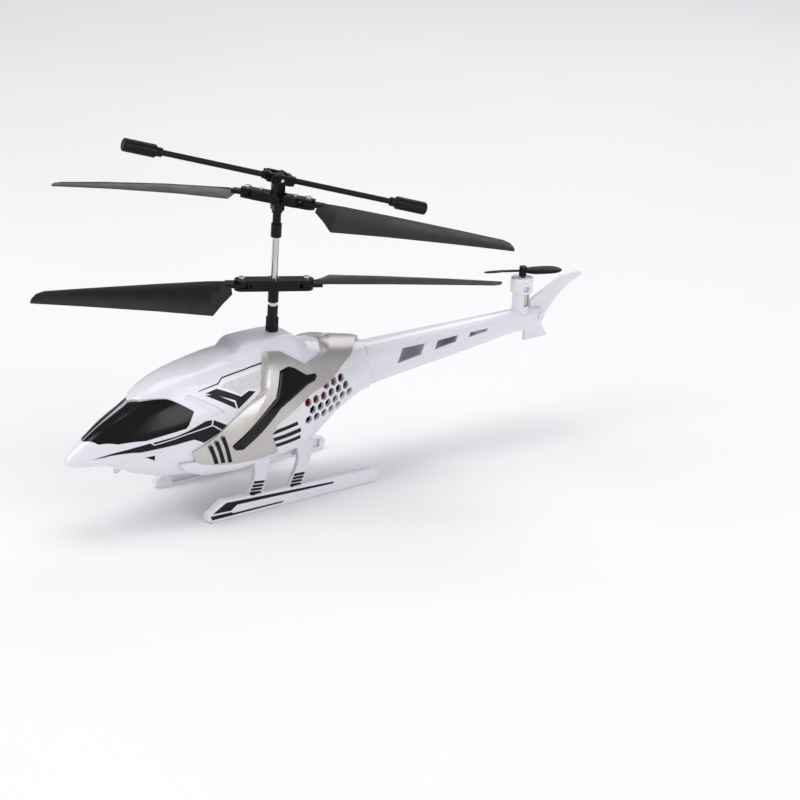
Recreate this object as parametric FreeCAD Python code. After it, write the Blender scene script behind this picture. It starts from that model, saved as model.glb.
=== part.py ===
import FreeCAD, Part
import math
import os

from FreeCAD import Vector

# Everything is drawn with the mast on the Z axis and moved forward by MAST_X when it is written,
# so that the origin is the centre of the footprint on the ground. Millimetres; +X is the nose,
# +Y the port side, +Z up.
MAST_X = 34.5

# fuselage skin
SKIN = 1.0
PANEL_GAP = 0.12
ARMOUR_RISE = 2.0
INSET_RISE = 2.25

# one half section per station: x, then seven (y, z) points from the ridge to the keel
STATIONS = [
    (90.0, [(0, 30.6), (0.7, 30.4), (1.2, 30.0), (1.4, 29.3), (1.1, 28.6), (0.6, 28.3), (0, 28.2)]),
    (88.0, [(0, 32.8), (1.3, 32.3), (2.3, 31.0), (2.6, 29.4), (2.1, 27.9), (1.1, 27.2), (0, 27.1)]),
    (84.0, [(0, 36.2), (2.4, 35.4), (4.0, 33.0), (4.7, 30.0), (3.7, 27.6), (1.9, 26.7), (0, 26.6)]),
    (77.0, [(0, 41.2), (3.8, 40.0), (6.2, 36.0), (7.4, 31.0), (5.8, 27.8), (2.9, 26.3), (0, 26.1)]),
    (69.0, [(0, 46.3), (5.2, 44.6), (8.2, 39.5), (9.8, 32.0), (7.6, 26.6), (3.8, 23.4), (0, 22.8)]),
    (60.0, [(0, 51.6), (6.4, 49.4), (10.2, 42.6), (12.3, 33.2), (9.6, 25.2), (5.0, 19.9), (0, 18.8)]),
    (50.0, [(0, 56.2), (7.6, 53.6), (12.2, 45.2), (14.8, 34.4), (12.0, 24.6), (7.2, 18.0), (0, 17.0)]),
    (38.0, [(0, 59.6), (8.8, 56.6), (14.0, 47.2), (16.9, 35.6), (15.2, 24.8), (11.2, 18.0), (0, 16.8)]),
    (24.0, [(0, 61.8), (9.6, 58.4), (15.2, 48.4), (18.2, 36.6), (17.2, 25.0), (14.0, 18.2), (0, 17.0)]),
    (8.0, [(0, 62.4), (9.8, 58.8), (15.4, 48.8), (18.4, 37.2), (17.6, 25.6), (14.6, 18.6), (0, 17.2)]),
    (-8.0, [(0, 60.6), (9.4, 57.0), (14.6, 47.8), (17.2, 38.0), (16.4, 27.4), (13.4, 20.6), (0, 19.0)]),
    (-14.2, [(0, 59.3), (8.9, 55.8), (13.8, 47.4), (16.1, 38.7), (15.2, 29.2), (11.9, 22.8), (0, 20.9)]),
    (-20.0, [(0, 57.9), (8.4, 54.6), (12.8, 47.0), (14.8, 39.4), (14.0, 32.2), (11.5, 27.0), (0, 25.6)]),
    (-26.0, [(0, 56.5), (7.7, 53.6), (11.6, 46.8), (13.3, 40.2), (12.6, 34.5), (10.4, 30.3), (0, 29.2)]),
    (-32.0, [(0, 55.2), (7.0, 52.6), (10.4, 46.6), (11.8, 41.0), (11.1, 36.0), (9.1, 32.5), (0, 31.5)]),
    (-37.0, [(0, 54.2), (6.3, 51.9), (9.3, 46.7), (10.4, 41.8), (9.7, 36.9), (7.7, 33.7), (0, 32.8)]),
    (-42.0, [(0, 53.2), (5.6, 51.2), (8.2, 46.8), (9.2, 42.6), (8.4, 37.8), (6.4, 34.6), (0, 33.8)]),
]

# side-view outlines (x, z) that part the skin into its panels
WINDSHIELD_LINE = [(95, 36.6), (83.5, 36.6), (72.8, 35.8), (62.7, 36.2), (52.7, 38.4), (46.6, 39.3),
                   (43.1, 45.4), (48.0, 48.2), (52.4, 50.5), (61.5, 50.3), (66.0, 53.0), (95, 53.0)]
NOSE_LINE = [(95, 10), (95, 45), (40.0, 45), (34.2, 40.9), (40.0, 32.7), (43.0, 10)]
BELLY_LINE = [(50, 5), (43.0, 10), (40.0, 32.7), (34.0, 34.6), (-6.0, 36.5), (-6.5, 5)]
REAR_LINE = [(-6.5, 5), (-6.0, 36.5), (-6.0, 52.0), (-10.0, 70), (-60, 70), (-60, 5)]
ROOF_LINE = [(75, 75), (75, 10), (-60, 10), (-60, 75)]
ARMOUR_LINE = [(11.0, 64), (11.0, 60.0), (3.6, 59.6), (-7.5, 53.6), (-18.0, 55.3), (-22.2, 57.7),
               (-24.5, 64),
               (-46, 64), (-41.5, 52.8), (-31.0, 52.0), (-18.9, 45.5), (-8.1, 43.0), (10.3, 34.3),
               (12.9, 31.3), (7.7, 23.0), (17.7, 21.9), (29.0, 22.3), (42.2, 24.3), (44.8, 29.7),
               (28.4, 40.2), (14.9, 47.8)]
INSET_LINE = [(6.3, 53.8), (1.9, 54.5), (-0.6, 53.6), (-5.8, 50.2), (-10.1, 49.9), (-10.8, 48.8),
              (-9.5, 47.4), (-5.8, 46.7), (8.0, 40.9), (16.8, 33.6), (24.6, 28.1), (27.9, 28.5),
              (29.5, 30.2), (29.2, 31.1), (9.9, 44.9), (8.1, 48.9)]
COMB_LINE = [(-4.0, 40.0), (-6.0, 32.5), (-15.0, 31.5), (-36.0, 38.0), (-26.0, 47.5)]
COMB_PITCH = 3.6
COMB_HOLE = 2.9

# cowl round the mast: base and top rectangles (x from, x to, half width, z)
COWL_BASE = (-16.5, 23.0, 10.5, 55.0)
COWL_TOP = (-7.0, 19.8, 7.2, 64.8)
COWL_ROUND = 2.4

# tail
BOOM_STATIONS = [(-38.0, 42.6, 9.2, 6.8), (-42.4, 42.6, 9.1, 6.7), (-60.0, 43.7, 8.0, 6.1),
                 (-80.0, 44.6, 7.0, 5.4), (-100.0, 45.6, 5.9, 4.7), (-120.7, 46.8, 4.7, 3.9),
                 (-133.0, 47.0, 4.5, 3.8), (-136.4, 47.1, 3.9, 3.3), (-138.0, 47.2, 2.4, 2.0)]
BOOM_SLOTS = [[(-60.2, 48.2), (-72.0, 48.0), (-70.1, 43.5), (-58.1, 42.2)],
              [(-78.7, 47.9), (-89.7, 48.1), (-88.5, 45.4), (-77.5, 44.3)],
              [(-96.4, 48.0), (-106.2, 48.0), (-105.2, 46.7), (-95.4, 46.0)]]
FIN_LINE = [(-120.7, 42.6), (-127.3, 36.9), (-142.3, 37.2), (-138.7, 42.2), (-138.6, 45.6), (-145.1, 53.5),
            (-152.1, 58.8), (-159.1, 61.5), (-158.0, 62.9), (-147.9, 62.6), (-131.5, 54.5), (-131.5, 46.0)]
FIN_THICK = 1.5
BOSS_X = -135.1
TAIL_X = -126.3
TUBE_R = 3.6
TUBE_TOP = 60.0
CAP_R = 4.7
CAP_TOP = 65.5
TAIL_MOTOR_R = 3.0
TAIL_SHAFT_R = 0.5
TAIL_PROP_R = 17.0
TAIL_PROP_AZ = -20.0

# skids
SKID_LINE = [(-41.4, 3.0), (-40.8, 0.6), (-39.5, 0.0), (37.4, 0.0), (39.6, 1.4), (39.8, 3.4), (32.8, 8.2),
             (-38.6, 5.7), (-40.6, 5.0)]
SKID_IN = 16.7
SKID_OUT = 19.7
STRUT_THICK = 1.8
# strut sections: (x from, x to, middle y, z)
FRONT_STRUT = [(6.6, 15.2, 11.6, 19.6), (9.9, 15.9, 14.6, 14.5),
               (13.2, 19.3, 17.0, 9.5), (15.9, 22.6, 18.0, 5.4)]
REAR_STRUT = [(-13.4, -4.6, 11.6, 21.2), (-10.5, -4.5, 14.4, 15.6),
              (-6.1, -0.2, 16.9, 10.0), (-3.2, 3.2, 18.0, 5.4)]

# rotors
ROTOR_R = 91.8
BLADE_ROOT_R = 16.6
BLADE_CORNER_R = 25.3
BLADE_CHORD = 24.7
BLADE_SCREW_R = 12.45
BLADE_THICK = 1.5
BLADE_PITCH = 11.7
BLADE_WASHOUT = 2.2
BLADE_REST = {"lower_blade_a": (-1.9, 3.1, 0.0), "lower_blade_b": (0.0, 1.9, 0.0),
              "upper_blade_a": (10.8, 8.2, 7.9), "upper_blade_b": (13.6, 3.5, 1.4)}
LOWER_AZ = -25.7
UPPER_AZ = -60.3
LOWER_PLANE = 83.8
HOLDER_Z = 118.0
HOLDER_TILT = 7.8
GRIP_HALF_W = 2.8
GRIP_GAP = 0.15
SCREW_SHANK_R = 0.7
SCREW_HEAD_R = 1.3
SCREW_BORE_R = 0.78

# mast
INNER_R = 1.30
OUTER_BORE = 1.38
OUTER_R = 1.60
BEARING_BORE = 1.66

# flybar
FLYBAR_AZ = -15.7
FLYBAR_TILT = 14.8
FLYBAR_Z = 126.0
FLYBAR_HALF = 62.5
FLYBAR_ROD_R = 1.1
BALL_F = 3.0
BALL_A = 5.0

# drive train
MODULE = 0.4
MAIN_TEETH = 65
PINION_TEETH = 10
BACKLASH = 0.12
MOTOR_Y = 7.5
MOTOR_R = 4.0
UPPER_GEAR_Z = (22.0, 24.0)
LOWER_GEAR_Z = (26.0, 28.0)
PLATE_Z = (30.0, 32.0)
BRIDGE_Z = (20.0, 21.5)

# power switch
SWITCH_X = 27.0
SWITCH_TRAVEL = 2.0
SOCKET_X = 35.5
SOCKET_BORE_R = 1.05
SOCKET_DEPTH = 3.6

UP = Vector(0, 0, 1)
HERE = Vector(0, 0, 0)


def rod(z0, z1, radius, x=0.0, y=0.0):
    return Part.makeCylinder(radius, z1 - z0, Vector(x, y, z0))


def tube(z0, z1, outer, inner, x=0.0, y=0.0):
    return rod(z0, z1, outer, x, y).cut(rod(z0 - 1, z1 + 1, inner, x, y))


def block(x0, x1, y0, y1, z0, z1):
    return Part.makeBox(x1 - x0, y1 - y0, z1 - z0, Vector(x0, y0, z0))


def pin(start, end, radius):
    start = Vector(*start)
    end = Vector(*end)
    return Part.makeCylinder(radius, (end - start).Length, start, end - start)


def side_prism(outline, y0, y1):
    corners = [Vector(x, y0, z) for x, z in outline]
    face = Part.Face(Part.makePolygon(corners + corners[:1]))
    return face.extrude(Vector(0, y1 - y0, 0))


def plan_prism(outline, z0, z1):
    corners = [Vector(x, y, z0) for x, y in outline]
    face = Part.Face(Part.makePolygon(corners + corners[:1]))
    return face.extrude(Vector(0, 0, z1 - z0))


def turned(shape, angle, axis=UP, centre=HERE):
    result = shape.copy()
    result.rotate(centre, axis, angle)
    return result


def mirrored(shape):
    return shape.mirror(HERE, Vector(0, 1, 0))


def direction(azimuth):
    angle = math.radians(azimuth)
    return Vector(math.cos(angle), math.sin(angle), 0)


def rounded(shape, radius, keep):
    edges = [edge for edge in shape.Edges if keep(edge)]
    return shape.makeFillet(radius, edges)


def write(node, shape):
    moved = shape.copy()
    moved.translate(Vector(MAST_X, 0, 0))
    moved.exportStep("parts/" + node + ".step")


def half_offset(points, amount):
    """Move each point of a half section along its outward normal; the ends stay on the middle plane."""
    moved = []
    last = len(points) - 1
    for i, (y, z) in enumerate(points):
        before = points[i - 1] if i > 0 else (-points[1][0], points[1][1])
        after = points[i + 1] if i < last else (-points[last - 1][0], points[last - 1][1])
        run = (after[0] - before[0], after[1] - before[1])
        length = math.hypot(*run)
        moved.append((y - amount * run[1] / length, z + amount * run[0] / length))
    return moved


def section_wire(x, half):
    left = [Vector(x, y, z) for y, z in half]
    right = [Vector(x, -y, z) for y, z in reversed(half[1:-1])]
    curve = Part.BSplineCurve()
    curve.interpolate(left + right, PeriodicFlag=True)
    return Part.Wire(curve.toShape())


def skin_solid(offset, first=0, last=None):
    wires = [section_wire(x, half_offset(half, offset)) for x, half in STATIONS[first:last]]
    return Part.makeLoft(wires, True, False)


def superellipse_wire(x, centre_z, half_h, half_w):
    points = []
    for step in range(16):
        angle = math.radians(22.5 * step + 11.25)
        c = math.cos(angle)
        s = math.sin(angle)
        y = half_w * math.copysign(abs(c) ** 0.62, c)
        z = centre_z + half_h * math.copysign(abs(s) ** 0.62, s)
        points.append(Vector(x, y, z))
    curve = Part.BSplineCurve()
    curve.interpolate(points, PeriodicFlag=True)
    return Part.Wire(curve.toShape())


def panel(shape, outline, taken=()):
    result = shape.common(side_prism(outline, -40, 40))
    for line in taken:
        result = result.cut(side_prism(line, -40, 40))
    return result


def port_half(shape):
    return shape.common(block(-60, 100, PANEL_GAP / 2, 40, 0, 80))


def cowl():
    wires = []
    for x0, x1, half_w, z in (COWL_BASE, COWL_TOP):
        corners = [Vector(x, y, z) for x, y in ((x0, -half_w), (x1, -half_w), (x1, half_w), (x0, half_w))]
        wires.append(Part.makePolygon(corners + corners[:1]))
    body = Part.makeLoft(wires, True, True)
    return rounded(body, COWL_ROUND, lambda edge: edge.BoundBox.ZMax > COWL_BASE[3] + 1)


def comb_holes():
    holes = []
    row_step = COMB_PITCH * math.sqrt(3) / 2
    reach = COMB_HOLE / math.sqrt(3)
    outline = side_prism(COMB_LINE, -30, 30)
    for row in range(8):
        for col in range(14):
            x = -35.0 + col * COMB_PITCH + (row % 2) * COMB_PITCH / 2
            z = 30.5 + row * row_step
            if not outline.isInside(Vector(x, 0, z), 0.01, True):
                continue
            corners = []
            for k in range(6):
                angle = math.radians(60 * k + 30)
                corners.append((x + reach * math.cos(angle), z + reach * math.sin(angle)))
            holes.append(side_prism(corners, -30, 30))
    return Part.makeCompound(holes)


def fuselage():
    outer = skin_solid(0.0)
    inner = skin_solid(-SKIN, 2, -1)
    skin = outer.cut(inner)
    windshield = panel(skin, WINDSHIELD_LINE)
    nose = panel(skin, NOSE_LINE, [WINDSHIELD_LINE])
    lamp_hole = pin((60, 0, 27), (74, 0, 17), 1.75)
    write("nose_shell", nose.cut(lamp_hole))
    write("windshield", windshield)
    belly = panel(skin, BELLY_LINE, [NOSE_LINE, WINDSHIELD_LINE])
    belly = belly.cut(block(SWITCH_X - 2.2, SWITCH_X + 2.2 + SWITCH_TRAVEL, -1.4, 1.4, 14, 20))
    belly = belly.cut(rod(14, 20, 2.2, SOCKET_X, 0))
    for x0, x1 in ((6.0, 15.6), (-13.6, -4.0)):
        hole = block(x0 - 0.2, x1 + 0.2, 10.4, 13.4, 14, 24)
        belly = belly.cut(hole).cut(mirrored(hole))
    rear = panel(skin, REAR_LINE, [BELLY_LINE])
    for x0, x1 in ((6.0, 15.6), (-13.6, -4.0)):
        hole = block(x0 - 0.2, x1 + 0.2, 10.4, 13.4, 14, 24)
        rear = rear.cut(hole).cut(mirrored(hole))
    rear = rear.cut(comb_holes())
    boom_wires = [superellipse_wire(x, z, h + 0.1, w + 0.1) for x, z, h, w in BOOM_STATIONS[:3]]
    boom_room = Part.makeLoft(boom_wires, True, True)
    rear = rear.cut(boom_room)
    write("belly_pan", belly)
    write("rear_shell", rear)
    roof = panel(skin, ROOF_LINE, [NOSE_LINE, WINDSHIELD_LINE, BELLY_LINE, REAR_LINE])
    hood = cowl().cut(inner).cut(side_prism(REAR_LINE, -40, 40)).fuse(roof)
    mast_hole = rod(50, 80, OUTER_R + 0.9)
    column_hole = rod(50, 62.2, 4.0)
    write("roof_shell", hood.cut(mast_hole).cut(column_hole))
    return outer


def armour(outer):
    raised = skin_solid(ARMOUR_RISE)
    top = skin_solid(INSET_RISE)
    base = skin_solid(0.06)
    clear_cowl = cowl()
    plate = panel(raised.cut(base), ARMOUR_LINE).cut(clear_cowl)
    inset_face = panel(top.cut(skin_solid(ARMOUR_RISE - 0.7)), INSET_LINE)
    plate = plate.cut(side_prism(INSET_LINE, -40, 40).cut(skin_solid(ARMOUR_RISE - 0.75)))
    halves = {"armour_port": port_half(plate), "armour_inset_port": port_half(inset_face)}
    for node, shape in halves.items():
        write(node, shape)
        write(node.replace("port", "starboard"), mirrored(shape))


def skirts():
    outline = [(49.0, 24.5), (46.0, 21.0), (38.0, 17.2), (24.0, 17.4), (18.0, 19.4), (18.0, 24.0),
               (42.0, 25.0)]
    half = port_half(panel(skin_solid(1.2).cut(skin_solid(0.06)), outline, [ARMOUR_LINE]))
    write("side_skirts", half.fuse(mirrored(half)))


def boom_solid():
    return Part.makeLoft([superellipse_wire(*row) for row in BOOM_STATIONS], True, True)


def boom():
    body = boom_solid()
    inside_rows = [(x, z, h - 0.9, w - 0.9) for x, z, h, w in BOOM_STATIONS[1:5]]
    inside = Part.makeLoft([superellipse_wire(*row) for row in inside_rows], True, True)
    body = body.cut(inside).fuse(pin((BOSS_X, -4.2, 47.6), (BOSS_X, 4.2, 47.6), 1.5))
    for line in BOOM_SLOTS:
        body = body.cut(side_prism(line, -12, 12))
    body = body.cut(rod(44.0, 70, TUBE_R + 0.02, TAIL_X, 0))
    write("tail_boom", body)
    boom_rows = ((-44.4, 42.7, 8.8, 6.6), (-42.2, 42.6, 9.1, 6.7))
    ring_rows = [(x, z, h + 0.9, w + 0.9) for x, z, h, w in boom_rows]
    ring = Part.makeLoft([superellipse_wire(*row) for row in ring_rows], True, True)
    write("boom_collar", ring.cut(boom_solid()))
    fin = side_prism(FIN_LINE, -FIN_THICK / 2, FIN_THICK / 2)
    fin = fin.cut(rod(30, 70, TUBE_R + 0.05, TAIL_X, 0))
    fin = fin.cut(boom_solid())
    write("tail_fin", fin)


def tail_motor():
    barrel = tube(44.0, TUBE_TOP, TUBE_R, TAIL_MOTOR_R + 0.05, TAIL_X, 0)
    window = block(TAIL_X - 2.4, TAIL_X + 1.0, 2.0, 6.0, 53.4, 58.8)
    barrel = barrel.cut(window)
    write("tail_motor_tube", barrel)
    cap = rod(TUBE_TOP - 0.7, CAP_TOP, CAP_R, TAIL_X, 0)
    cap = cap.cut(rod(TUBE_TOP - 1, TUBE_TOP, TUBE_R + 0.02, TAIL_X, 0))
    cap = cap.cut(rod(TUBE_TOP - 1, 64.3, TAIL_MOTOR_R + 0.05, TAIL_X, 0))
    cap = cap.cut(rod(60, 70, 1.2, TAIL_X, 0))
    cap = cap.cut(block(TAIL_X - 0.2, TAIL_X + 2.4, 3.4, 6, 60.3, 62.6))
    cap = rounded(cap, 0.5, lambda edge: abs(edge.BoundBox.ZMin - CAP_TOP) < 0.01 and edge.Length > 20)
    write("tail_motor_cap", cap)
    can = rod(48.0, 64.2, TAIL_MOTOR_R, TAIL_X, 0)
    write("tail_motor", can.fuse(rod(64.2, 68.6, TAIL_SHAFT_R, TAIL_X, 0)))
    hub = rod(66.2, 70.1, 1.6, TAIL_X, 0).cut(rod(65, 69.0, TAIL_SHAFT_R + 0.05, TAIL_X, 0))
    blade = propeller_blade(TAIL_PROP_R, 5.4, 1.2)
    blade.translate(Vector(0, 0, 68.1))
    blades = blade.fuse(turned(blade, 180))
    blades = turned(blades, TAIL_PROP_AZ)
    blades.translate(Vector(TAIL_X, 0, 0))
    prop = hub.fuse(blades.cut(rod(60, 69.0, TAIL_SHAFT_R + 0.05, TAIL_X, 0)))
    write("tail_propeller", prop)


def blade_section(r, front, back, thick, pitch, camber):
    """Thin cambered wing section across the radius; front and back are distances from the pitch axis."""
    chord = front + back
    stations = [0.0, 0.06, 0.3, 0.6, 1.0]
    upper = [0.0, 0.5, 1.0, 0.8, 0.16]
    lower = [0.0, -0.35, -0.1, 0.1, -0.16]
    twist = math.radians(pitch)

    def place(t, lift):
        v = -front + chord * t
        z = lift * thick / 2 + camber * math.sin(math.pi * t)
        across = v * math.cos(twist) + z * math.sin(twist)
        return Vector(r, across, z * math.cos(twist) - v * math.sin(twist))

    top = Part.BSplineCurve()
    top.interpolate([place(t, lift) for t, lift in zip(stations, upper)])
    bottom = Part.BSplineCurve()
    bottom.interpolate([place(t, lift) for t, lift in zip(stations, lower)])
    tail = Part.makeLine(place(1.0, 0.16), place(1.0, -0.16))
    return Part.Wire([top.toShape(), tail, bottom.toShape()])


def propeller_blade(radius, chord, thick):
    rows = [(1.0, 1.0, 1.2, thick, -28.0, 0.1),
            (5.0, 0.42 * chord, 0.42 * chord, thick, -24.0, 0.25),
            (11.0, 0.5 * chord, 0.5 * chord, 0.8 * thick, -17.0, 0.3),
            (radius - 1.5, 0.4 * chord, 0.4 * chord, 0.6, -12.0, 0.2),
            (radius, 0.18 * chord, 0.18 * chord, 0.4, -11.0, 0.1)]
    return Part.makeLoft([blade_section(*row) for row in rows], True, False)


def main_blade(droop, twist):
    """One blade along +X, trailing edge towards +Y, its screw hole at BLADE_SCREW_R.

    The soft blade sags by droop at its tip and is wrung by twist degrees beyond its root.
    """
    rows = [(BLADE_ROOT_R, 2.4, 7.2, 1.3, 0.1),
            (21.0, 2.5, 14.2, 1.3, 0.6),
            (BLADE_CORNER_R, 2.5, BLADE_CHORD - 2.5, 1.2, 0.9),
            (45.0, 1.7, 18.1, 1.1, 0.9),
            (70.0, 0.8, 13.0, 1.0, 0.7),
            (86.5, 0.2, 9.6, 0.8, 0.5),
            (89.5, -1.6, 9.0, 0.7, 0.4),
            (91.2, -4.8, 8.6, 0.6, 0.2),
            (ROTOR_R, -7.2, 8.5, 0.5, 0.1)]
    sections = []
    for r, front, back, thick, camber in rows:
        wrung = twist * min(1, (r - BLADE_ROOT_R) / (BLADE_CORNER_R - BLADE_ROOT_R))
        pitch = BLADE_PITCH - BLADE_WASHOUT * (r - BLADE_ROOT_R) / (ROTOR_R - BLADE_ROOT_R) + wrung
        section = blade_section(r, front, back, thick, pitch, camber)
        section.translate(Vector(0, 0, -droop * ((r - BLADE_ROOT_R) / (ROTOR_R - BLADE_ROOT_R)) ** 1.4))
        sections.append(section)
    wing = Part.makeLoft(sections, True, True)
    half = BLADE_THICK / 2
    tongue = rod(-half, half, 2.5, BLADE_SCREW_R, 0)
    tongue = tongue.fuse(block(BLADE_SCREW_R, 18.5, -2.5, 2.5, -half, half))
    blade = wing.fuse(tongue)
    return blade.cut(rod(-3, 3, SCREW_BORE_R, BLADE_SCREW_R, 0))


def grip_plates(thick, bore):
    """Upper and lower plates that hold one blade between them, along +X."""
    half = BLADE_THICK / 2 + GRIP_GAP
    plates = None
    for z0, z1 in ((half, half + thick), (-half - thick, -half)):
        plate = block(3.0, BLADE_SCREW_R, -GRIP_HALF_W, GRIP_HALF_W, z0, z1)
        plate = plate.fuse(rod(z0, z1, GRIP_HALF_W, BLADE_SCREW_R, 0))
        plate = plate.cut(rod(-10, 10, bore, BLADE_SCREW_R, 0))
        plates = plate if plates is None else plates.fuse(plate)
    return plates


def cross_head(radius, height, z, x):
    head = rod(z, z + height, radius, x, 0)
    slot = block(x - radius * 0.6, x + radius * 0.6, -0.16, 0.16, z + height * 0.5, z + height + 1)
    slot = slot.fuse(turned(slot, 90, UP, Vector(x, 0, 0)))
    return rounded(head, 0.25, lambda edge: abs(edge.BoundBox.ZMin - z - height) < 0.01).cut(slot)


def blade_screw(thick):
    top = BLADE_THICK / 2 + GRIP_GAP + thick
    head = cross_head(SCREW_HEAD_R, 1.0, top, BLADE_SCREW_R)
    return head.fuse(rod(-top, top, SCREW_SHANK_R, BLADE_SCREW_R, 0))


def both_ends(shape):
    return Part.makeCompound([shape, turned(shape, 180)])


def main_gear(z0, z1, shaft_bore, hub_r):
    """Spoked gear with straight-flanked teeth."""
    pitch_r = MODULE * MAIN_TEETH / 2
    rim = gear_blank(MAIN_TEETH, pitch_r, z0, z1)
    rim = rim.cut(rod(z0 - 1, z1 + 1, pitch_r - 1.7))
    spokes = None
    for k in range(5):
        arm = block(hub_r - 0.6, pitch_r - 1.2, -1.1, 1.1, z0 + 0.3, z1 - 0.3)
        arm = turned(arm, 72 * k)
        spokes = arm if spokes is None else spokes.fuse(arm)
    hub = rod(z0, z1, hub_r)
    wheel = rim.fuse(spokes).fuse(hub)
    return wheel.cut(rod(z0 - 2, z1 + 3, shaft_bore))


def gear_blank(teeth, pitch_r, z0, z1):
    root = pitch_r - 1.15 * MODULE
    tip = pitch_r + 0.85 * MODULE
    step = 2 * math.pi / teeth
    slack = BACKLASH / 2 / pitch_r
    outline = []
    for k in range(teeth):
        mid = k * step
        for radius, share in ((root, -0.36), (tip, -0.13), (tip, 0.13), (root, 0.36)):
            angle = mid + share * step - math.copysign(slack, share)
            outline.append((radius * math.cos(angle), radius * math.sin(angle)))
    return plan_prism(outline, z0, z1)


def motor_place(side):
    centre = MODULE * (MAIN_TEETH + PINION_TEETH) / 2 + 0.1
    x = math.sqrt(centre ** 2 - MOTOR_Y ** 2)
    return x, side * MOTOR_Y


def pinion(side, z0, z1):
    """Pinion in mesh: a gap between its teeth faces the nearest tooth of the main gear."""
    x, y = motor_place(side)
    azimuth = math.degrees(math.atan2(y, x))
    gear_step = 360.0 / MAIN_TEETH
    nearest = round(azimuth / gear_step) * gear_step
    shape = gear_blank(PINION_TEETH, MODULE * PINION_TEETH / 2, z0, z1)
    shape = shape.cut(rod(z0 - 1, z1 + 1, 0.55))
    lag = (azimuth - nearest) * MAIN_TEETH / PINION_TEETH
    shape = turned(shape, azimuth + 180 + 180.0 / PINION_TEETH + lag)
    shape.translate(Vector(x, y, 0))
    return shape


def drive():
    write("lower_main_gear", main_gear(*LOWER_GEAR_Z, OUTER_R, 3.2))
    write("upper_main_gear", main_gear(*UPPER_GEAR_Z, INNER_R, 3.0))
    write("lower_pinion", pinion(1, LOWER_GEAR_Z[0] - 0.4, LOWER_GEAR_Z[1] + 0.4))
    write("upper_pinion", pinion(-1, UPPER_GEAR_Z[0] - 0.4, UPPER_GEAR_Z[1] + 0.4))
    places = (("lower_motor", 1, LOWER_GEAR_Z[0] - 0.9), ("upper_motor", -1, UPPER_GEAR_Z[0] - 0.9))
    for node, side, low in places:
        x, y = motor_place(side)
        can = rod(PLATE_Z[1] + 0.02, 48.0, MOTOR_R, x, y)
        can = rounded(can, 0.4, lambda edge: edge.BoundBox.ZMin > 47)
        shaft = rod(low, PLATE_Z[1] + 0.5, 0.5, x, y)
        lug = tube(48.0, 48.6, 1.6, 0.7, x, y)
        write(node, can.fuse(shaft).fuse(lug))


def frame():
    plate = block(-24.0, 20.5, -12.4, 12.4, *PLATE_Z)
    plate = plate.cut(block(-30, -11, 7.4, 14, 20, 40)).cut(block(-30, -11, -14, -7.4, 20, 40))
    column = rod(PLATE_Z[0], 61.8, 3.6)
    body = plate.fuse(column)
    body = body.fuse(block(-2.6, 17.5, -2.4, 2.4, *BRIDGE_Z)).fuse(block(-2.6, 2.6, -15.2, 15.2, *BRIDGE_Z))
    body = body.fuse(block(14.6, 17.5, -2.4, 2.4, BRIDGE_Z[0], PLATE_Z[1]))
    for y0 in (13.75, -15.2):
        body = body.fuse(block(-2.6, 2.6, y0, y0 + 1.45, BRIDGE_Z[0], PLATE_Z[1]))
        body = body.fuse(block(-2.6, 2.6, min(y0, 11.0), max(y0 + 1.45, -11.0), *PLATE_Z))
    for side in (1, -1):
        x, y = motor_place(side)
        cup = tube(PLATE_Z[1], 38.0, MOTOR_R + 1.0, MOTOR_R + 0.02, x, y)
        body = body.fuse(cup.cut(rod(20, 60, 3.7))).cut(rod(20, PLATE_Z[1] + 0.01, 2.6, x, y))
    body = body.fuse(block(-23.9, -22.6, -6.4, 6.4, PLATE_Z[1], 36.0))
    room = skin_solid(-SKIN - 0.15, 2, -1).fuse(rod(50, 61.8, 3.6))
    body = body.common(room).cut(rod(10, 70, OUTER_R + 0.5))
    for z0, z1 in ((PLATE_Z[0] - 1, PLATE_Z[0] + 2.0), (59.8, 64.0)):
        body = body.cut(rod(z0, z1, 2.6))
    write("main_frame", body)
    write("mast_bearings", Part.makeCompound([
        tube(PLATE_Z[0], PLATE_Z[0] + 2.0, 2.6, BEARING_BORE), tube(59.8, 61.8, 2.6, BEARING_BORE)]))
    write("foot_bearing", tube(*BRIDGE_Z, OUTER_R + 0.5, INNER_R + 0.06))
    boot = tube(62.0, 75.1, 2.0, OUTER_R + 0.08)
    for k in range(4):
        boot = boot.fuse(turned(block(1.85, 2.4, -0.4, 0.4, 64.9, 70.5), 45 + 90 * k))
    write("mast_boot", boot.fuse(tube(61.9, 64.7, 2.4, OUTER_R + 0.08)))
    screws = []
    for x, y in ((-8.0, 6.0), (-8.0, -6.0), (19.0, 1.2)):
        head = rod(PLATE_Z[1], PLATE_Z[1] + 0.9, 1.2, x, y)
        cross = block(x - 0.8, x + 0.8, y - 0.15, y + 0.15, PLATE_Z[1] + 0.5, PLATE_Z[1] + 2)
        screws.append(head.cut(cross.fuse(turned(cross, 90, UP, Vector(x, y, 0)))))
    write("frame_screws", Part.makeCompound(screws))


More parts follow.
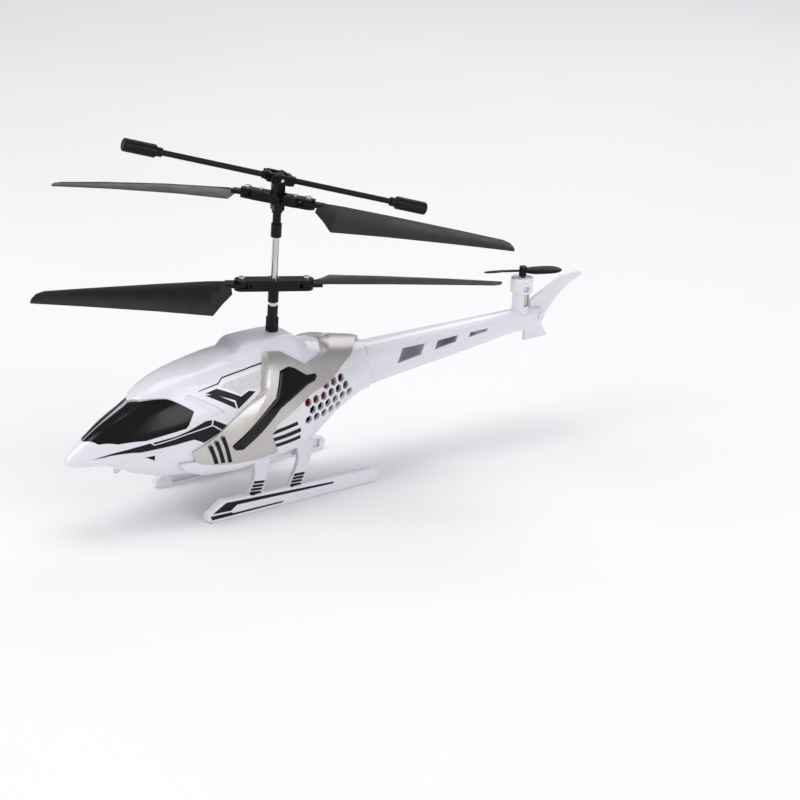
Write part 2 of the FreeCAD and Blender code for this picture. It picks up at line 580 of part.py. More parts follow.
def electrics():
    battery = block(-30.5, -9.6, -5.9, 5.9, 36.3, 46.6)
    battery = rounded(battery, 1.8, lambda edge: edge.Length > 20)
    battery = battery.fuse(block(-22.4, -9.6, -5.9, 5.9, PLATE_Z[1] + 0.05, 37.5))
    write("battery", battery)
    board = block(22.0, 48.0, -8.4, 8.4, 21.0, 22.0)
    chips = [block(26, 31, -4, 1, 22.0, 23.0),
             block(34, 38, 1, 6, 22.0, 22.8),
             block(40, 46, -3.0, 3.0, 22.0, 24.6)]
    for chip in chips:
        board = board.fuse(chip)
    write("circuit_board", board)
    housing = block(SWITCH_X - 3.2, SWITCH_X + 3.2 + SWITCH_TRAVEL, -1.9, 1.9, 18.3, 20.9)
    housing = housing.cut(block(SWITCH_X - 2.0, SWITCH_X + 2.0 + SWITCH_TRAVEL, -1.1, 1.1, 18.0, 19.9))
    write("switch_housing", housing)
    slider = block(SWITCH_X - 1.7, SWITCH_X + 1.7, -0.8, 0.8, 18.5, 19.6)
    slider = slider.fuse(block(SWITCH_X - 0.9, SWITCH_X + 0.9, -0.6, 0.6, 15.6, 19.0))
    write("switch_slider", slider)
    socket = rod(16.6, 20.9, 2.0, SOCKET_X, 0)
    socket = socket.cut(rod(16.0, 16.6 + SOCKET_DEPTH, SOCKET_BORE_R, SOCKET_X, 0))
    write("charging_socket", socket)
    lens = pin((65.4, 0, 23.3), (68.4, 0, 21.2), 1.1)
    lens = lens.fuse(Part.makeSphere(1.1, Vector(68.4, 0, 21.2)))
    write("nose_lamp", lens)


def strut(rows):
    wires = []
    half = STRUT_THICK / 2
    for x0, x1, y, z in rows:
        edges = ((x0, y - half), (x1, y - half), (x1, y + half), (x0, y + half))
        corners = [Vector(px, py, z) for px, py in edges]
        wires.append(Part.makePolygon(corners + corners[:1]))
    return Part.makeLoft(wires, True, False)


def skids():
    rail = side_prism(SKID_LINE, SKID_IN, SKID_OUT)
    rail = rounded(rail, 0.45, lambda edge: abs(edge.BoundBox.YMin - SKID_OUT) < 0.01)
    rail = rail.cut(block(-38.5, 32.5, SKID_IN - 1, SKID_IN + 1.3, 1.3, 4.7))
    for rows in (FRONT_STRUT, REAR_STRUT):
        rail = rail.fuse(strut(rows))
    write("skid_port", rail)
    write("skid_starboard", mirrored(rail))
    sockets = None
    for x0 in (6.6, -12.9):
        lug = block(x0, x0 + 8.2, 10.1, 10.65, 15.6, 19.0)
        sockets = lug if sockets is None else sockets.fuse(lug)
    sockets = sockets.cut(skin_solid(0.05))
    write("strut_sockets", sockets.fuse(mirrored(sockets)))


def lower_rotor():
    write("outer_shaft", tube(LOWER_GEAR_Z[0] - 0.6, 86.4, OUTER_R, OUTER_BORE))
    thick = 1.2
    grips = grip_plates(thick, SCREW_SHANK_R)
    body = grips.fuse(turned(grips, 180))
    top = BLADE_THICK / 2 + GRIP_GAP + thick
    core = block(-9.0, 9.0, -GRIP_HALF_W, GRIP_HALF_W, -top, top)
    body = body.fuse(core).fuse(rod(-top, top, 3.4))
    body.translate(Vector(0, 0, LOWER_PLANE))
    body = body.fuse(rod(76.7, LOWER_PLANE, 2.05)).cut(rod(60, 100, OUTER_R))
    write("lower_hub", turned(body, LOWER_AZ))
    screws = both_ends(blade_screw(thick))
    screws.translate(Vector(0, 0, LOWER_PLANE))
    write("lower_blade_screws", turned(screws, LOWER_AZ))
    for node, turn in (("lower_blade_a", 0), ("lower_blade_b", 180)):
        swing, droop, twist = BLADE_REST[node]
        placed = turned(main_blade(droop, twist), swing, UP, Vector(BLADE_SCREW_R, 0, 0))
        placed = turned(placed, LOWER_AZ + turn)
        placed.translate(Vector(0, 0, LOWER_PLANE))
        write(node, placed)


def in_holder(shape):
    """Place a shape drawn at the origin into the see-sawing blade holder at rest."""
    placed = turned(shape, HOLDER_TILT, Vector(1, 0, 0))
    placed = turned(placed, UPPER_AZ)
    placed.translate(Vector(0, 0, HOLDER_Z))
    return placed


def in_cradle(shape):
    """Place a shape drawn with the flybar along X into the tilted cradle at rest."""
    placed = turned(shape, -FLYBAR_TILT, Vector(0, 1, 0))
    placed = turned(placed, FLYBAR_AZ)
    placed.translate(Vector(0, 0, FLYBAR_Z))
    return placed


def upper_rotor():
    write("inner_shaft", rod(19.9, 113.0, INNER_R))
    write("shaft_collar", tube(102.8, 108.0, 2.05, INNER_R))
    post_half = 2.1
    head = rod(108.0, 113.5, 1.6).fuse(rod(112.5, 115.0, 2.1))
    post = block(-post_half, post_half, -post_half, post_half, 113.5, 127.6)
    post = turned(post, FLYBAR_AZ)
    blade_pin = pin((-4.6, 0, HOLDER_Z), (4.6, 0, HOLDER_Z), 0.6)
    flybar_pin = pin((0, -4.6, FLYBAR_Z), (0, 4.6, FLYBAR_Z), 0.6)
    head = head.fuse(post)
    for gone in (turned(blade_pin, UPPER_AZ), turned(flybar_pin, FLYBAR_AZ), rod(100, 113.0, INNER_R)):
        head = head.cut(gone)
    write("rotor_head", head)
    write("head_pins", Part.makeCompound([turned(blade_pin, UPPER_AZ), turned(flybar_pin, FLYBAR_AZ)]))


def blade_holder():
    thick = 1.0
    grips = grip_plates(thick, SCREW_SHANK_R)
    grips = grips.cut(block(-4.5, 4.5, -6, 6, -5, 5))
    body = grips.fuse(turned(grips, 180))
    top = BLADE_THICK / 2 + GRIP_GAP + thick
    body = body.fuse(block(-9.2, 9.2, -4.2, 4.2, -1.7, 1.7))
    for side in (1, -1):
        bridge = block(5.2, 9.2, -GRIP_HALF_W, GRIP_HALF_W, -top, top)
        body = body.fuse(turned(bridge, 0 if side > 0 else 180))
        x, y = ball_in_holder()
        stem = pin((side * x, side * 3.8, 0), (side * x, side * (y - 0.9), 0), 0.55)
        ball = pin((side * x, side * (y - 0.95), 0), (side * x, side * (y + 0.55), 0), 0.85)
        body = body.fuse(stem).fuse(ball)
    body = body.cut(rod(-5, 5, 3.45)).cut(pin((-6, 0, 0), (6, 0, 0), 0.68))
    write("blade_holder", in_holder(body))
    screws = both_ends(blade_screw(thick))
    small = cross_head(1.1, 0.8, top, 6.9)
    write("upper_blade_screws", in_holder(screws))
    write("holder_screws", in_holder(both_ends(small)))
    for node, turn in (("upper_blade_a", 0), ("upper_blade_b", 180)):
        swing, droop, twist = BLADE_REST[node]
        blade = main_blade(droop, twist).mirror(HERE, Vector(0, 1, 0))
        blade = turned(blade, swing, UP, Vector(BLADE_SCREW_R, 0, 0))
        write(node, in_holder(turned(blade, turn)))


def ball_in_holder():
    """Where the lower ball stands in the holder's own axes, under the cradle's ball."""
    ball = direction(FLYBAR_AZ) * BALL_F + direction(FLYBAR_AZ + 90) * BALL_A
    along = direction(UPPER_AZ)
    across = direction(UPPER_AZ + 90)
    return ball.dot(along), ball.dot(across)


def flybar():
    cheek = block(-4.6, 4.6, 2.7, 3.9, -1.7, 1.9)
    cheek = rounded(cheek, 1.2, lambda edge: edge.Length < 1.3 and abs(edge.BoundBox.YLength - 1.2) < 0.01)
    cradle = cheek.fuse(turned(cheek, 180))
    for side in (1, -1):
        block_end = block(3.4, 5.4, -3.4, 3.4, -1.6, 1.7)
        sleeve = pin((5.3, 0, 0), (6.6, 0, 0), 1.55)
        end = block_end.fuse(sleeve)
        cradle = cradle.fuse(turned(end, 0 if side > 0 else 180))
        x = side * BALL_F
        cradle = cradle.fuse(pin((x, side * 3.5, 0), (x, side * (BALL_A + 0.55), 0), 0.85))
    cradle = cradle.cut(pin((0, -6, 0), (0, 6, 0), 0.68))
    rods = []
    weights = []
    for side in (1, -1):
        rods.append(pin((side * 3.4, 0, 0), (side * (FLYBAR_HALF - 1), 0, 0), FLYBAR_ROD_R))
        weight = pin((side * (FLYBAR_HALF - 13), 0, 0), (side * FLYBAR_HALF, 0, 0), 2.5)
        collar = pin((side * (FLYBAR_HALF - 15.2), 0, 0), (side * (FLYBAR_HALF - 13), 0, 0), 1.75)
        weight = rounded(weight, 0.7, lambda edge: edge.Length > 10 and edge.BoundBox.XLength < 0.01)
        weights.append(weight.fuse(collar))
    for bar in rods:
        cradle = cradle.cut(bar)
    weights = [weight.cut(bar) for weight, bar in zip(weights, rods)]
    write("flybar_cradle", in_cradle(cradle))
    write("flybar_rods", in_cradle(Part.makeCompound(rods)))
    write("flybar_weights", in_cradle(Part.makeCompound(weights)))


def link_rods():
    """Each link has an eye round the cradle's ball above and the holder's ball below."""
    tilt = math.radians(FLYBAR_TILT)
    hold = math.radians(HOLDER_TILT)
    x, y = ball_in_holder()
    for node, side in (("link_rod_a", 1), ("link_rod_b", -1)):
        forward = direction(FLYBAR_AZ) * (side * BALL_F * math.cos(tilt))
        upper = forward + direction(FLYBAR_AZ + 90) * (side * BALL_A)
        upper.z = FLYBAR_Z + side * BALL_F * math.sin(tilt)
        lower = direction(UPPER_AZ) * (side * x) + direction(UPPER_AZ + 90) * (side * y * math.cos(hold))
        lower.z = HOLDER_Z + side * y * math.sin(hold)
        out_top = direction(FLYBAR_AZ + 90) * side
        out_low = direction(UPPER_AZ + 90) * side
        eyes = []
        for centre, out in ((upper, out_top), (lower, out_low)):
            ring = Part.makeCylinder(1.9, 1.0, centre - out * 0.5, out)
            hole = Part.makeCylinder(1.15, 3.0, centre - out * 1.5, out)
            eyes.append((ring, hole))
        run = upper - lower
        start = lower + run * 0.16
        bar = Part.makeCylinder(0.75, run.Length * 0.68, start, run)
        link = bar.fuse(eyes[0][0]).fuse(eyes[1][0]).cut(eyes[0][1]).cut(eyes[1][1])
        write(node, link)


def main():
    os.makedirs("parts", exist_ok=True)
    outer = fuselage()
    armour(outer)
    skirts()
    boom()
    tail_motor()
    skids()
    frame()
    drive()
    electrics()
    lower_rotor()
    upper_rotor()
    blade_holder()
    flybar()
    link_rods()


main()
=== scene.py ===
import math

import bmesh
import bpy
import numpy as np
from mathutils import Matrix, Vector
from mathutils.geometry import delaunay_2d_cdt


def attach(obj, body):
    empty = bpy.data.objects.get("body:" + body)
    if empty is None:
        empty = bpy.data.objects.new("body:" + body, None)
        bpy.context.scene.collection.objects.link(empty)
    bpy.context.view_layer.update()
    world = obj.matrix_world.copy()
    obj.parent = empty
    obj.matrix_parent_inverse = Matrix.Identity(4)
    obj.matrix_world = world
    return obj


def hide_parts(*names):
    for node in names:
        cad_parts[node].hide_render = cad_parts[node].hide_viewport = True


# All shapes are drawn in millimetres with the mast on the Z axis, as in the CAD source, then
# moved forward by MAST_X and scaled to metres when a mesh is made.
MM = 0.001
MAST_X = 34.5

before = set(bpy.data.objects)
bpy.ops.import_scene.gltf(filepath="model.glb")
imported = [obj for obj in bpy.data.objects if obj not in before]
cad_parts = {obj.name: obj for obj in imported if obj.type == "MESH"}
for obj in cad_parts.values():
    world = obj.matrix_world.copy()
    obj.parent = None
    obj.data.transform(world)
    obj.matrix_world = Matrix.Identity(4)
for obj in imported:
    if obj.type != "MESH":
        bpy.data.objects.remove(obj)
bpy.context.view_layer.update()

# ---------------------------------------------------------------- fuselage surface
# Sections of the port half: x, then seven (y, z) points from ridge to keel.
STATIONS = [
    (90.0, [(0, 30.6), (0.7, 30.4), (1.2, 30.0), (1.4, 29.3), (1.1, 28.6), (0.6, 28.3), (0, 28.2)]),
    (88.0, [(0, 32.8), (1.3, 32.3), (2.3, 31.0), (2.6, 29.4), (2.1, 27.9), (1.1, 27.2), (0, 27.1)]),
    (84.0, [(0, 36.2), (2.4, 35.4), (4.0, 33.0), (4.7, 30.0), (3.7, 27.6), (1.9, 26.7), (0, 26.6)]),
    (77.0, [(0, 41.2), (3.8, 40.0), (6.2, 36.0), (7.4, 31.0), (5.8, 27.8), (2.9, 26.3), (0, 26.1)]),
    (69.0, [(0, 46.3), (5.2, 44.6), (8.2, 39.5), (9.8, 32.0), (7.6, 26.6), (3.8, 23.4), (0, 22.8)]),
    (60.0, [(0, 51.6), (6.4, 49.4), (10.2, 42.6), (12.3, 33.2), (9.6, 25.2), (5.0, 19.9), (0, 18.8)]),
    (50.0, [(0, 56.2), (7.6, 53.6), (12.2, 45.2), (14.8, 34.4), (12.0, 24.6), (7.2, 18.0), (0, 17.0)]),
    (38.0, [(0, 59.6), (8.8, 56.6), (14.0, 47.2), (16.9, 35.6), (15.2, 24.8), (11.2, 18.0), (0, 16.8)]),
    (24.0, [(0, 61.8), (9.6, 58.4), (15.2, 48.4), (18.2, 36.6), (17.2, 25.0), (14.0, 18.2), (0, 17.0)]),
    (8.0, [(0, 62.4), (9.8, 58.8), (15.4, 48.8), (18.4, 37.2), (17.6, 25.6), (14.6, 18.6), (0, 17.2)]),
    (-8.0, [(0, 60.6), (9.4, 57.0), (14.6, 47.8), (17.2, 38.0), (16.4, 27.4), (13.4, 20.6), (0, 19.0)]),
    (-14.2, [(0, 59.3), (8.9, 55.8), (13.8, 47.4), (16.1, 38.7), (15.2, 29.2), (11.9, 22.8), (0, 20.9)]),
    (-20.0, [(0, 57.9), (8.4, 54.6), (12.8, 47.0), (14.8, 39.4), (14.0, 32.2), (11.5, 27.0), (0, 25.6)]),
    (-26.0, [(0, 56.5), (7.7, 53.6), (11.6, 46.8), (13.3, 40.2), (12.6, 34.5), (10.4, 30.3), (0, 29.2)]),
    (-32.0, [(0, 55.2), (7.0, 52.6), (10.4, 46.6), (11.8, 41.0), (11.1, 36.0), (9.1, 32.5), (0, 31.5)]),
    (-37.0, [(0, 54.2), (6.3, 51.9), (9.3, 46.7), (10.4, 41.8), (9.7, 36.9), (7.7, 33.7), (0, 32.8)]),
    (-42.0, [(0, 53.2), (5.6, 51.2), (8.2, 46.8), (9.2, 42.6), (8.4, 37.8), (6.4, 34.6), (0, 33.8)]),
]
TABLE_STEP = 0.5     # between sections of the finished surface
TABLE_ROUND = 181    # points from ridge to keel
GIRTH = 58.0         # typical length from ridge to keel, which turns a share of the way round into mm

# Side-view outlines (x, z) of what is cut into or printed on the skin. RIDGE as a height means the
# top middle line.
RIDGE = 99.0
WINDSHIELD = [(83.5, RIDGE), (83.3, 36.6), (79.4, 36.0), (72.8, 35.8), (62.7, 36.2), (52.7, 38.2),
              (47.2, 39.2), (46.0, 40.3), (43.3, 45.2), (47.8, 48.1), (52.4, 50.5), (57.0, 50.7),
              (61.5, 50.0), (64.6, RIDGE)]
GLASS_SUNK = 0.4
GLASS_SUNK_AT_BROW = 0.9
GLASS_SUNK_SPREAD = 9.0
BROW_LINE = [(66.0, 49.0), (62.4, 50.4), (58.0, 51.5), (52.0, 52.6), (46.3, 53.1), (38.0, 54.0)]
BROW_RISE = 0.5
BROW_SPREAD = 8.0       # height over which the rise dies out above the crease
BROW_LIP = 0.9          # height of the lip under the crease
BROW_REAR_X = 36.0
BROW_REAR_FADE = 12.0
RECESS = [(44.9, 51.2), (46.4, 49.8), (33.6, 42.0), (31.0, 43.7)]
CHIN = [(84.5, 29.9), (74.3, 32.0), (67.6, 32.2), (56.9, 31.1), (55.8, 28.1), (55.0, 26.6), (58.0, 20.9),
        (63.9, 21.6), (73.8, 26.3), (83.0, 28.3)]
CHIN_MARK = [(62.7, 29.9), (59.2, 30.3), (58.8, 27.9)]
CHIN_RISE = 0.35
BAND = [(82.4, 30.7), (73.7, 33.0), (61.2, 35.4), (59.7, 34.3), (47.1, 37.1), (37.0, 39.0), (33.5, 36.6),
        (40.5, 32.9), (44.5, 34.8), (59.6, 32.6), (72.0, 31.6)]
BAND_TOP = [(59.4, 34.8), (60.4, 35.4), (51.6, 37.0), (47.0, 38.3), (39.5, 41.2), (36.9, 41.2), (37.4, 39.4),
            (47.1, 37.5)]
BAND_REAR = [(36.8, 39.4), (36.2, 41.1), (31.1, 38.5), (33.2, 37.0)]
ROOF_LINE = [(40.6, 51.7), (40.5, 52.0), (32.4, 53.8), (30.3, 55.5), (11.6, 57.5), (11.6, 57.1), (30.2, 55.1),
             (32.2, 53.4)]
CHEVRON_UP = [(38.0, 50.9), (33.3, 52.0), (23.8, 47.8), (20.1, 49.3), (17.1, 48.6), (25.7, 43.6),
              (26.4, 46.9)]
CHEVRON_LOW = [(38.3, 50.2), (34.7, 50.2), (26.9, 46.2), (26.5, 43.8)]
PATCH = [(31.3, 52.5), (29.2, 53.6), (13.0, 55.3), (13.6, 50.0), (17.0, 49.4), (20.3, 50.1), (23.8, 48.6)]
SIDE_STRIPES = [
    [(11.3, 30.3), (8.9, 32.2), (-1.1, 33.5), (-1.8, 31.9)],
    [(11.0, 28.8), (-3.1, 30.3), (-3.7, 28.4), (9.3, 27.2)],
    [(9.0, 25.9), (-3.6, 26.9), (-4.1, 25.2), (7.8, 24.3)],
]
ARMOUR_OUTER = [(11.0, 60.3), (3.6, 59.6), (-7.5, 53.6), (-18.0, 55.3), (-22.2, 57.7), (-25.0, RIDGE),
                (-41.5, RIDGE), (-31.0, 52.0), (-18.9, 45.5), (-8.1, 43.0), (10.3, 34.3), (12.9, 31.3),
                (7.7, 23.0), (17.7, 21.9), (29.0, 22.3), (42.2, 24.3), (44.8, 29.7), (28.4, 40.2),
                (14.9, 47.8)]
ARMOUR_FACE = [(9.1, 59.5), (3.2, 58.9), (-7.5, 52.8), (-18.4, 54.4), (-23.6, 56.4), (-27.0, RIDGE),
               (-40.9, RIDGE), (-30.8, 51.2), (-18.8, 46.0), (-8.0, 43.6), (10.0, 34.9), (12.2, 31.4),
               (8.2, 23.5), (17.7, 22.4), (29.0, 22.8), (37.4, 24.0), (37.2, 28.5), (20.8, 38.9),
               (12.6, 49.3)]
ARMOUR_RISE = 2.0
ARMOUR_FOOT = -0.3      # the outer edge starts this far under the skin
ARMOUR_SHOULDER = 0.45  # share of the rise at which the bevel starts
ARMOUR_GAP = 0.18       # half the gap between the two sides at the ridge
INSET = [(6.3, 53.8), (1.9, 54.5), (-0.6, 53.6), (-5.8, 50.2), (-10.1, 49.9), (-10.8, 48.8), (-9.5, 47.4),
         (-5.8, 46.7), (8.0, 40.9), (16.8, 33.6), (24.6, 28.1), (27.9, 28.5), (29.5, 30.2), (29.2, 31.1),
         (9.9, 44.9), (8.1, 48.9)]
INSET_GROOVE = 0.1
INSET_DEPTH = 0.5
# rounded edge of an inlay: how far inside the outline, and how far above the armour's face
INSET_EDGE = [(-0.14, -0.5), (-0.22, 0.1), (-0.6, 0.3), (-1.0, 0.32)]
ARMOUR_STRIPES = [
    [(39.3, 31.6), (38.1, 32.4), (33.9, 24.0), (35.6, 24.0)],
    [(36.9, 33.1), (35.7, 33.8), (31.2, 24.0), (32.9, 24.0)],
    [(34.4, 34.6), (33.2, 35.2), (28.4, 23.7), (30.1, 23.8)],
]
# Dark markings on the outer face of a skid, and the rungs printed on the struts: the top and the
# bottom rung of each strut, as rear top, front top, front bottom and rear bottom corner.
SKID_FACE = 19.7
SKID_STRIPES = [
    [(37.6, 3.9), (31.6, 7.3), (-19.1, 4.7), (-18.8, 3.9), (26.5, 5.4), (29.2, 3.5)],
    [(38.4, 3.1), (29.0, 2.8), (28.2, 2.3), (4.9, 2.0), (5.2, 1.4), (37.8, 1.4)],
]
RUNGS = [
    [[(12.3, 11.4), (17.2, 11.9), (17.6, 11.0), (12.9, 10.6)],
     [(14.9, 8.0), (19.8, 8.6), (20.4, 7.7), (15.3, 7.2)]],
    [[(-6.4, 10.9), (-1.5, 11.1), (-0.8, 10.2), (-5.7, 10.0)],
     [(-3.8, 7.4), (1.1, 7.8), (1.7, 6.9), (-3.4, 6.6)]],
]
RUNG_COUNT = 4
RUNG_COLUMNS = 7
RUNG_LIFT = 0.06
SIDE_EYE_Y = 40.0       # well outside the skids
# honeycomb openings: cells whose middle lies in the area, in rows that climb towards the tail
COMB_AREA = [(-5.0, 41.5), (-5.5, 32.0), (-26.0, 32.5), (-31.5, 37.0), (-29.0, 43.0), (-26.0, 47.0)]
COMB_START = (-9.0, 36.3)
COMB_TILT = 4.4
COMB_PITCH = 4.2
COMB_HOLE = 3.3
COMB_ROWS = range(-1, 4)
COMB_COLUMNS = range(-2, 8)

# cuts in the skin: how deep their walls go, and the small bevel at their rim
GLASS_WALL = 1.8
RECESS_WALL = 0.7
RECESS_FLOOR = 0.6
COMB_WALL = 1.2
RIM_BEVEL = 0.12
RIM_DROP = 0.15
TIP_POINTS = 25

# panels and prints: height above what they lie on, and the spacing of their points
DECAL_LIFT = 0.05
PATCH_LIFT = 0.04
PANEL_EDGE = 0.18
PANEL_FOOT = -0.1
RIM_STEP = 0.6
PRINT_RIM_STEP = 0.5
WIDE_RIM_STEP = 0.7
FILL_STEP = 0.8
SKIN_STEP = 0.85
ARMOUR_STEP = 0.9

# cowl round the foot of the mast: a flat top with slopes beside, before and behind it, each with its
# steepness, where it starts and how soft its bend is
COWL_TOP = 64.9
COWL_CAMBER = 0.0024
COWL_CAMBER_X = 5.0
COWL_SIDE = (1.75, 6.9, 0.9)
COWL_FRONT = (1.35, 18.6, 0.9)
COWL_BACK = (0.95, 6.0, 1.1)
COWL_BLEND = 0.9
COWL_OVER_Z = 52.0
COWL_BEHIND_X = 34.0


def slopes(x, y):
    """Monotone cubic slopes down the columns of y."""
    h = np.diff(x)[:, None]
    rise = np.diff(y, axis=0) / h
    result = np.zeros_like(y)
    w1 = 2 * h[1:] + h[:-1]
    w2 = h[1:] + 2 * h[:-1]
    with np.errstate(divide="ignore", invalid="ignore"):
        middle = (w1 + w2) / (w1 / rise[:-1] + w2 / rise[1:])
    result[1:-1] = np.where(rise[:-1] * rise[1:] > 0, middle, 0.0)
    result[0] = rise[0]
    result[-1] = rise[-1]
    return result


def hermite(x, y, d, at):
    """Cubic through the rows of y at x, with slopes d."""
    i = np.clip(np.searchsorted(x, at) - 1, 0, len(x) - 2)
    h = (x[i + 1] - x[i])[:, None]
    t = ((at - x[i]) / (x[i + 1] - x[i]))[:, None]
    return ((1 + 2 * t) * (1 - t) ** 2 * y[i] + t * (1 - t) ** 2 * h * d[i]
            + t * t * (3 - 2 * t) * y[i + 1] + t * t * (t - 1) * h * d[i + 1])


def closed_spline(points, samples):
    """Cubic spline through a closed loop of points, sampled over its first half."""
    n = len(points)
    gaps = np.linalg.norm(np.roll(points, -1, axis=0) - points, axis=1)
    knots = np.concatenate([[0], np.cumsum(gaps)])
    system = np.zeros((n, n))
    right = np.zeros((n, 2))
    for k in range(n):
        before, after = gaps[k - 1], gaps[k]
        system[k, k - 1] += after
        system[k, k] += 2 * (before + after)
        system[k, (k + 1) % n] += before
        right[k] = 3 * (after * (points[k] - points[k - 1]) / before
                        + before * (points[(k + 1) % n] - points[k]) / after)
    speed = np.linalg.solve(system, right)
    loop = np.vstack([points, points[:1]])
    return hermite(knots, loop, np.vstack([speed, speed[:1]]), np.linspace(0, knots[n // 2], samples))


def build_table():
    """Points and outward normals of the port half, by section and by share of the way round."""
    xs = np.array([x for x, _ in STATIONS])[::-1].copy()
    rows = np.array([np.array(half, float).ravel() for _, half in STATIONS])[::-1].copy()
    along = np.linspace(xs[0], xs[-1], int(round((xs[-1] - xs[0]) / TABLE_STEP)) + 1)
    halves = hermite(xs, rows, slopes(xs, rows), along).reshape(len(along), -1, 2)
    table = np.zeros((len(along), TABLE_ROUND, 3))
    for k, half in enumerate(halves):
        other = half[-2:0:-1] * [-1, 1]
        table[k, :, 0] = along[k]
        table[k, :, 1:] = closed_spline(np.vstack([half, other]), TABLE_ROUND)
    du = np.gradient(table, axis=0)
    dv = np.gradient(table, axis=1)
    normal = np.cross(du, dv)
    normal[:, 0, 1] = 0
    normal[:, -1, 1] = 0
    normal /= np.linalg.norm(normal, axis=2, keepdims=True)
    if normal[len(along) // 2, TABLE_ROUND // 2, 1] < 0:
        normal = -normal
    return along, table, normal


ALONG, TABLE, NORMAL = build_table()


def look_up(source, x, u):
    """Value of a table between its points."""
    i = np.clip((x - ALONG[0]) / TABLE_STEP, 0, len(ALONG) - 1.001)
    j = np.clip(u * (TABLE_ROUND - 1), 0, TABLE_ROUND - 1.001)
    i0 = i.astype(int)
    j0 = j.astype(int)
    a = (i - i0)[:, None]
    b = (j - j0)[:, None]
    return ((1 - a) * (1 - b) * source[i0, j0] + a * (1 - b) * source[i0 + 1, j0]
            + (1 - a) * b * source[i0, j0 + 1] + a * b * source[i0 + 1, j0 + 1])


def around(x, z):
    """Share of the way round from ridge (0) to keel (1) at which the section has this height."""
    if z >= RIDGE:
        return 0.0
    shares = np.linspace(0, 1, 400)
    heights = look_up(TABLE, np.full(400, float(x)), shares)[:, 2]
    return float(np.interp(-z, -heights, shares))


def smooth_step(t):
    t = np.clip(t, 0, 1)
    return t * t * (3 - 2 * t)


def crease_height(x):
    """Height of the crease between windshield and roof."""
    line = np.array(sorted(BROW_LINE))
    return np.interp(x, line[:, 0], line[:, 1])


def brow_rise(x, z):
    """Extra height of the lip over the windshield."""
    crease = crease_height(x)
    above = z - crease
    fall = 1 - smooth_step(above / BROW_SPREAD)
    lip = smooth_step((above + BROW_LIP) / BROW_LIP)
    fade = smooth_step((x - BROW_REAR_X) / BROW_REAR_FADE)
    return BROW_RISE * fade * fall * lip


def soft_max(a, b, blend):
    """The larger of two heights, with a rounded change from one to the other."""
    return (a + b + np.sqrt((a - b) ** 2 + blend ** 2)) / 2 - blend * 0.02


def slope_down(distance, steepness, start, ease):
    """Drop of an even slope that starts at a distance, with a softened bend."""
    t = distance - start
    return steepness * (t + np.sqrt(t * t + ease * ease)) / 2


def cowl_height(x, y):
    top = COWL_TOP - COWL_CAMBER * (x - COWL_CAMBER_X) ** 2
    side = slope_down(np.abs(y), *COWL_SIDE)
    front = slope_down(x, *COWL_FRONT)
    back = slope_down(-x, *COWL_BACK)
    return top - side - front - back


def lift(spots, offset, cowl=True):
    """Points on the port half of the skin: spots are (x, share round), offset is outward."""
    spots = np.asarray(spots, float)
    x, u = spots[:, 0], spots[:, 1]
    base = look_up(TABLE, x, u)
    normal = look_up(NORMAL, x, u)
    normal /= np.linalg.norm(normal, axis=1, keepdims=True)
    rise = brow_rise(base[:, 0], base[:, 2]) + np.asarray(offset)
    points = base + normal * rise[:, None]
    if cowl:
        hood = cowl_height(points[:, 0], points[:, 1]) + np.asarray(offset)
        near = (base[:, 2] > COWL_OVER_Z) & (base[:, 0] < COWL_BEHIND_X)
        points[:, 2] = np.where(near, soft_max(points[:, 2], hood, COWL_BLEND), points[:, 2])
    return points


# ---------------------------------------------------------------- mesh helpers
SHARP_ANGLE = 32.0
WELD = 0.004
MIDDLE_Z = 40.0


def dense(outline, step):
    """Insert points so that no edge of a closed outline in (x, share) is longer than step."""
    return dense_pair(outline, outline, step)[0]


def dense_pair(first, second, step):
    """The same for two outlines with matching corners, by the edges of the first."""
    one = []
    two = []
    count = len(first)
    for k in range(count):
        a, b = np.array(first[k]), np.array(first[(k + 1) % count])
        c, d = np.array(second[k]), np.array(second[(k + 1) % count])
        length = math.hypot(b[0] - a[0], (b[1] - a[1]) * GIRTH)
        pieces = max(1, int(math.ceil(length / step)))
        for n in range(pieces):
            one.append(a + (b - a) * n / pieces)
            two.append(c + (d - c) * n / pieces)
    return np.array(one), np.array(two)


def on_skin(outline):
    """Side-view outline (x, z) as spots on the skin, (x, share of the way round)."""
    return [(x, around(x, z)) for x, z in outline]


def flat(spots):
    """Spots as 2-D points in mm, with the girth unrolled."""
    return np.asarray(spots) * [1.0, GIRTH]


def grown(spots, distance):
    """Move a dense outline outwards (or inwards, if negative) in its own surface."""
    p = flat(spots)
    after = np.roll(p, -1, axis=0) - p
    before = p - np.roll(p, 1, axis=0)
    after /= np.linalg.norm(after, axis=1, keepdims=True) + 1e-9
    before /= np.linalg.norm(before, axis=1, keepdims=True) + 1e-9
    area = 0.5 * np.sum(p[:, 0] * np.roll(p[:, 1], -1) - np.roll(p[:, 0], -1) * p[:, 1])
    sign = 1.0 if area > 0 else -1.0
    n1 = np.stack([after[:, 1], -after[:, 0]], axis=1) * sign
    n2 = np.stack([before[:, 1], -before[:, 0]], axis=1) * sign
    both = n1 + n2
    length = np.maximum(np.sum(both * n1, axis=1, keepdims=True), 0.6)
    moved = p + both / length * distance
    moved[:, 1] = np.clip(moved[:, 1], 0, GIRTH)
    moved[p[:, 1] <= 1e-6, 1] = 0
    return moved / [1.0, GIRTH]


def inside(points, outline):
    """Which 2-D points lie in a closed outline."""
    result = np.zeros(len(points), bool)
    x, y = points[:, 0], points[:, 1]
    count = len(outline)
    for k in range(count):
        x1, y1 = outline[k]
        x2, y2 = outline[(k + 1) % count]
        if y1 == y2:
            continue
        crosses = (y1 > y) != (y2 > y)
        result ^= crosses & (x < (x2 - x1) * (y - y1) / (y2 - y1) + x1)
    return result


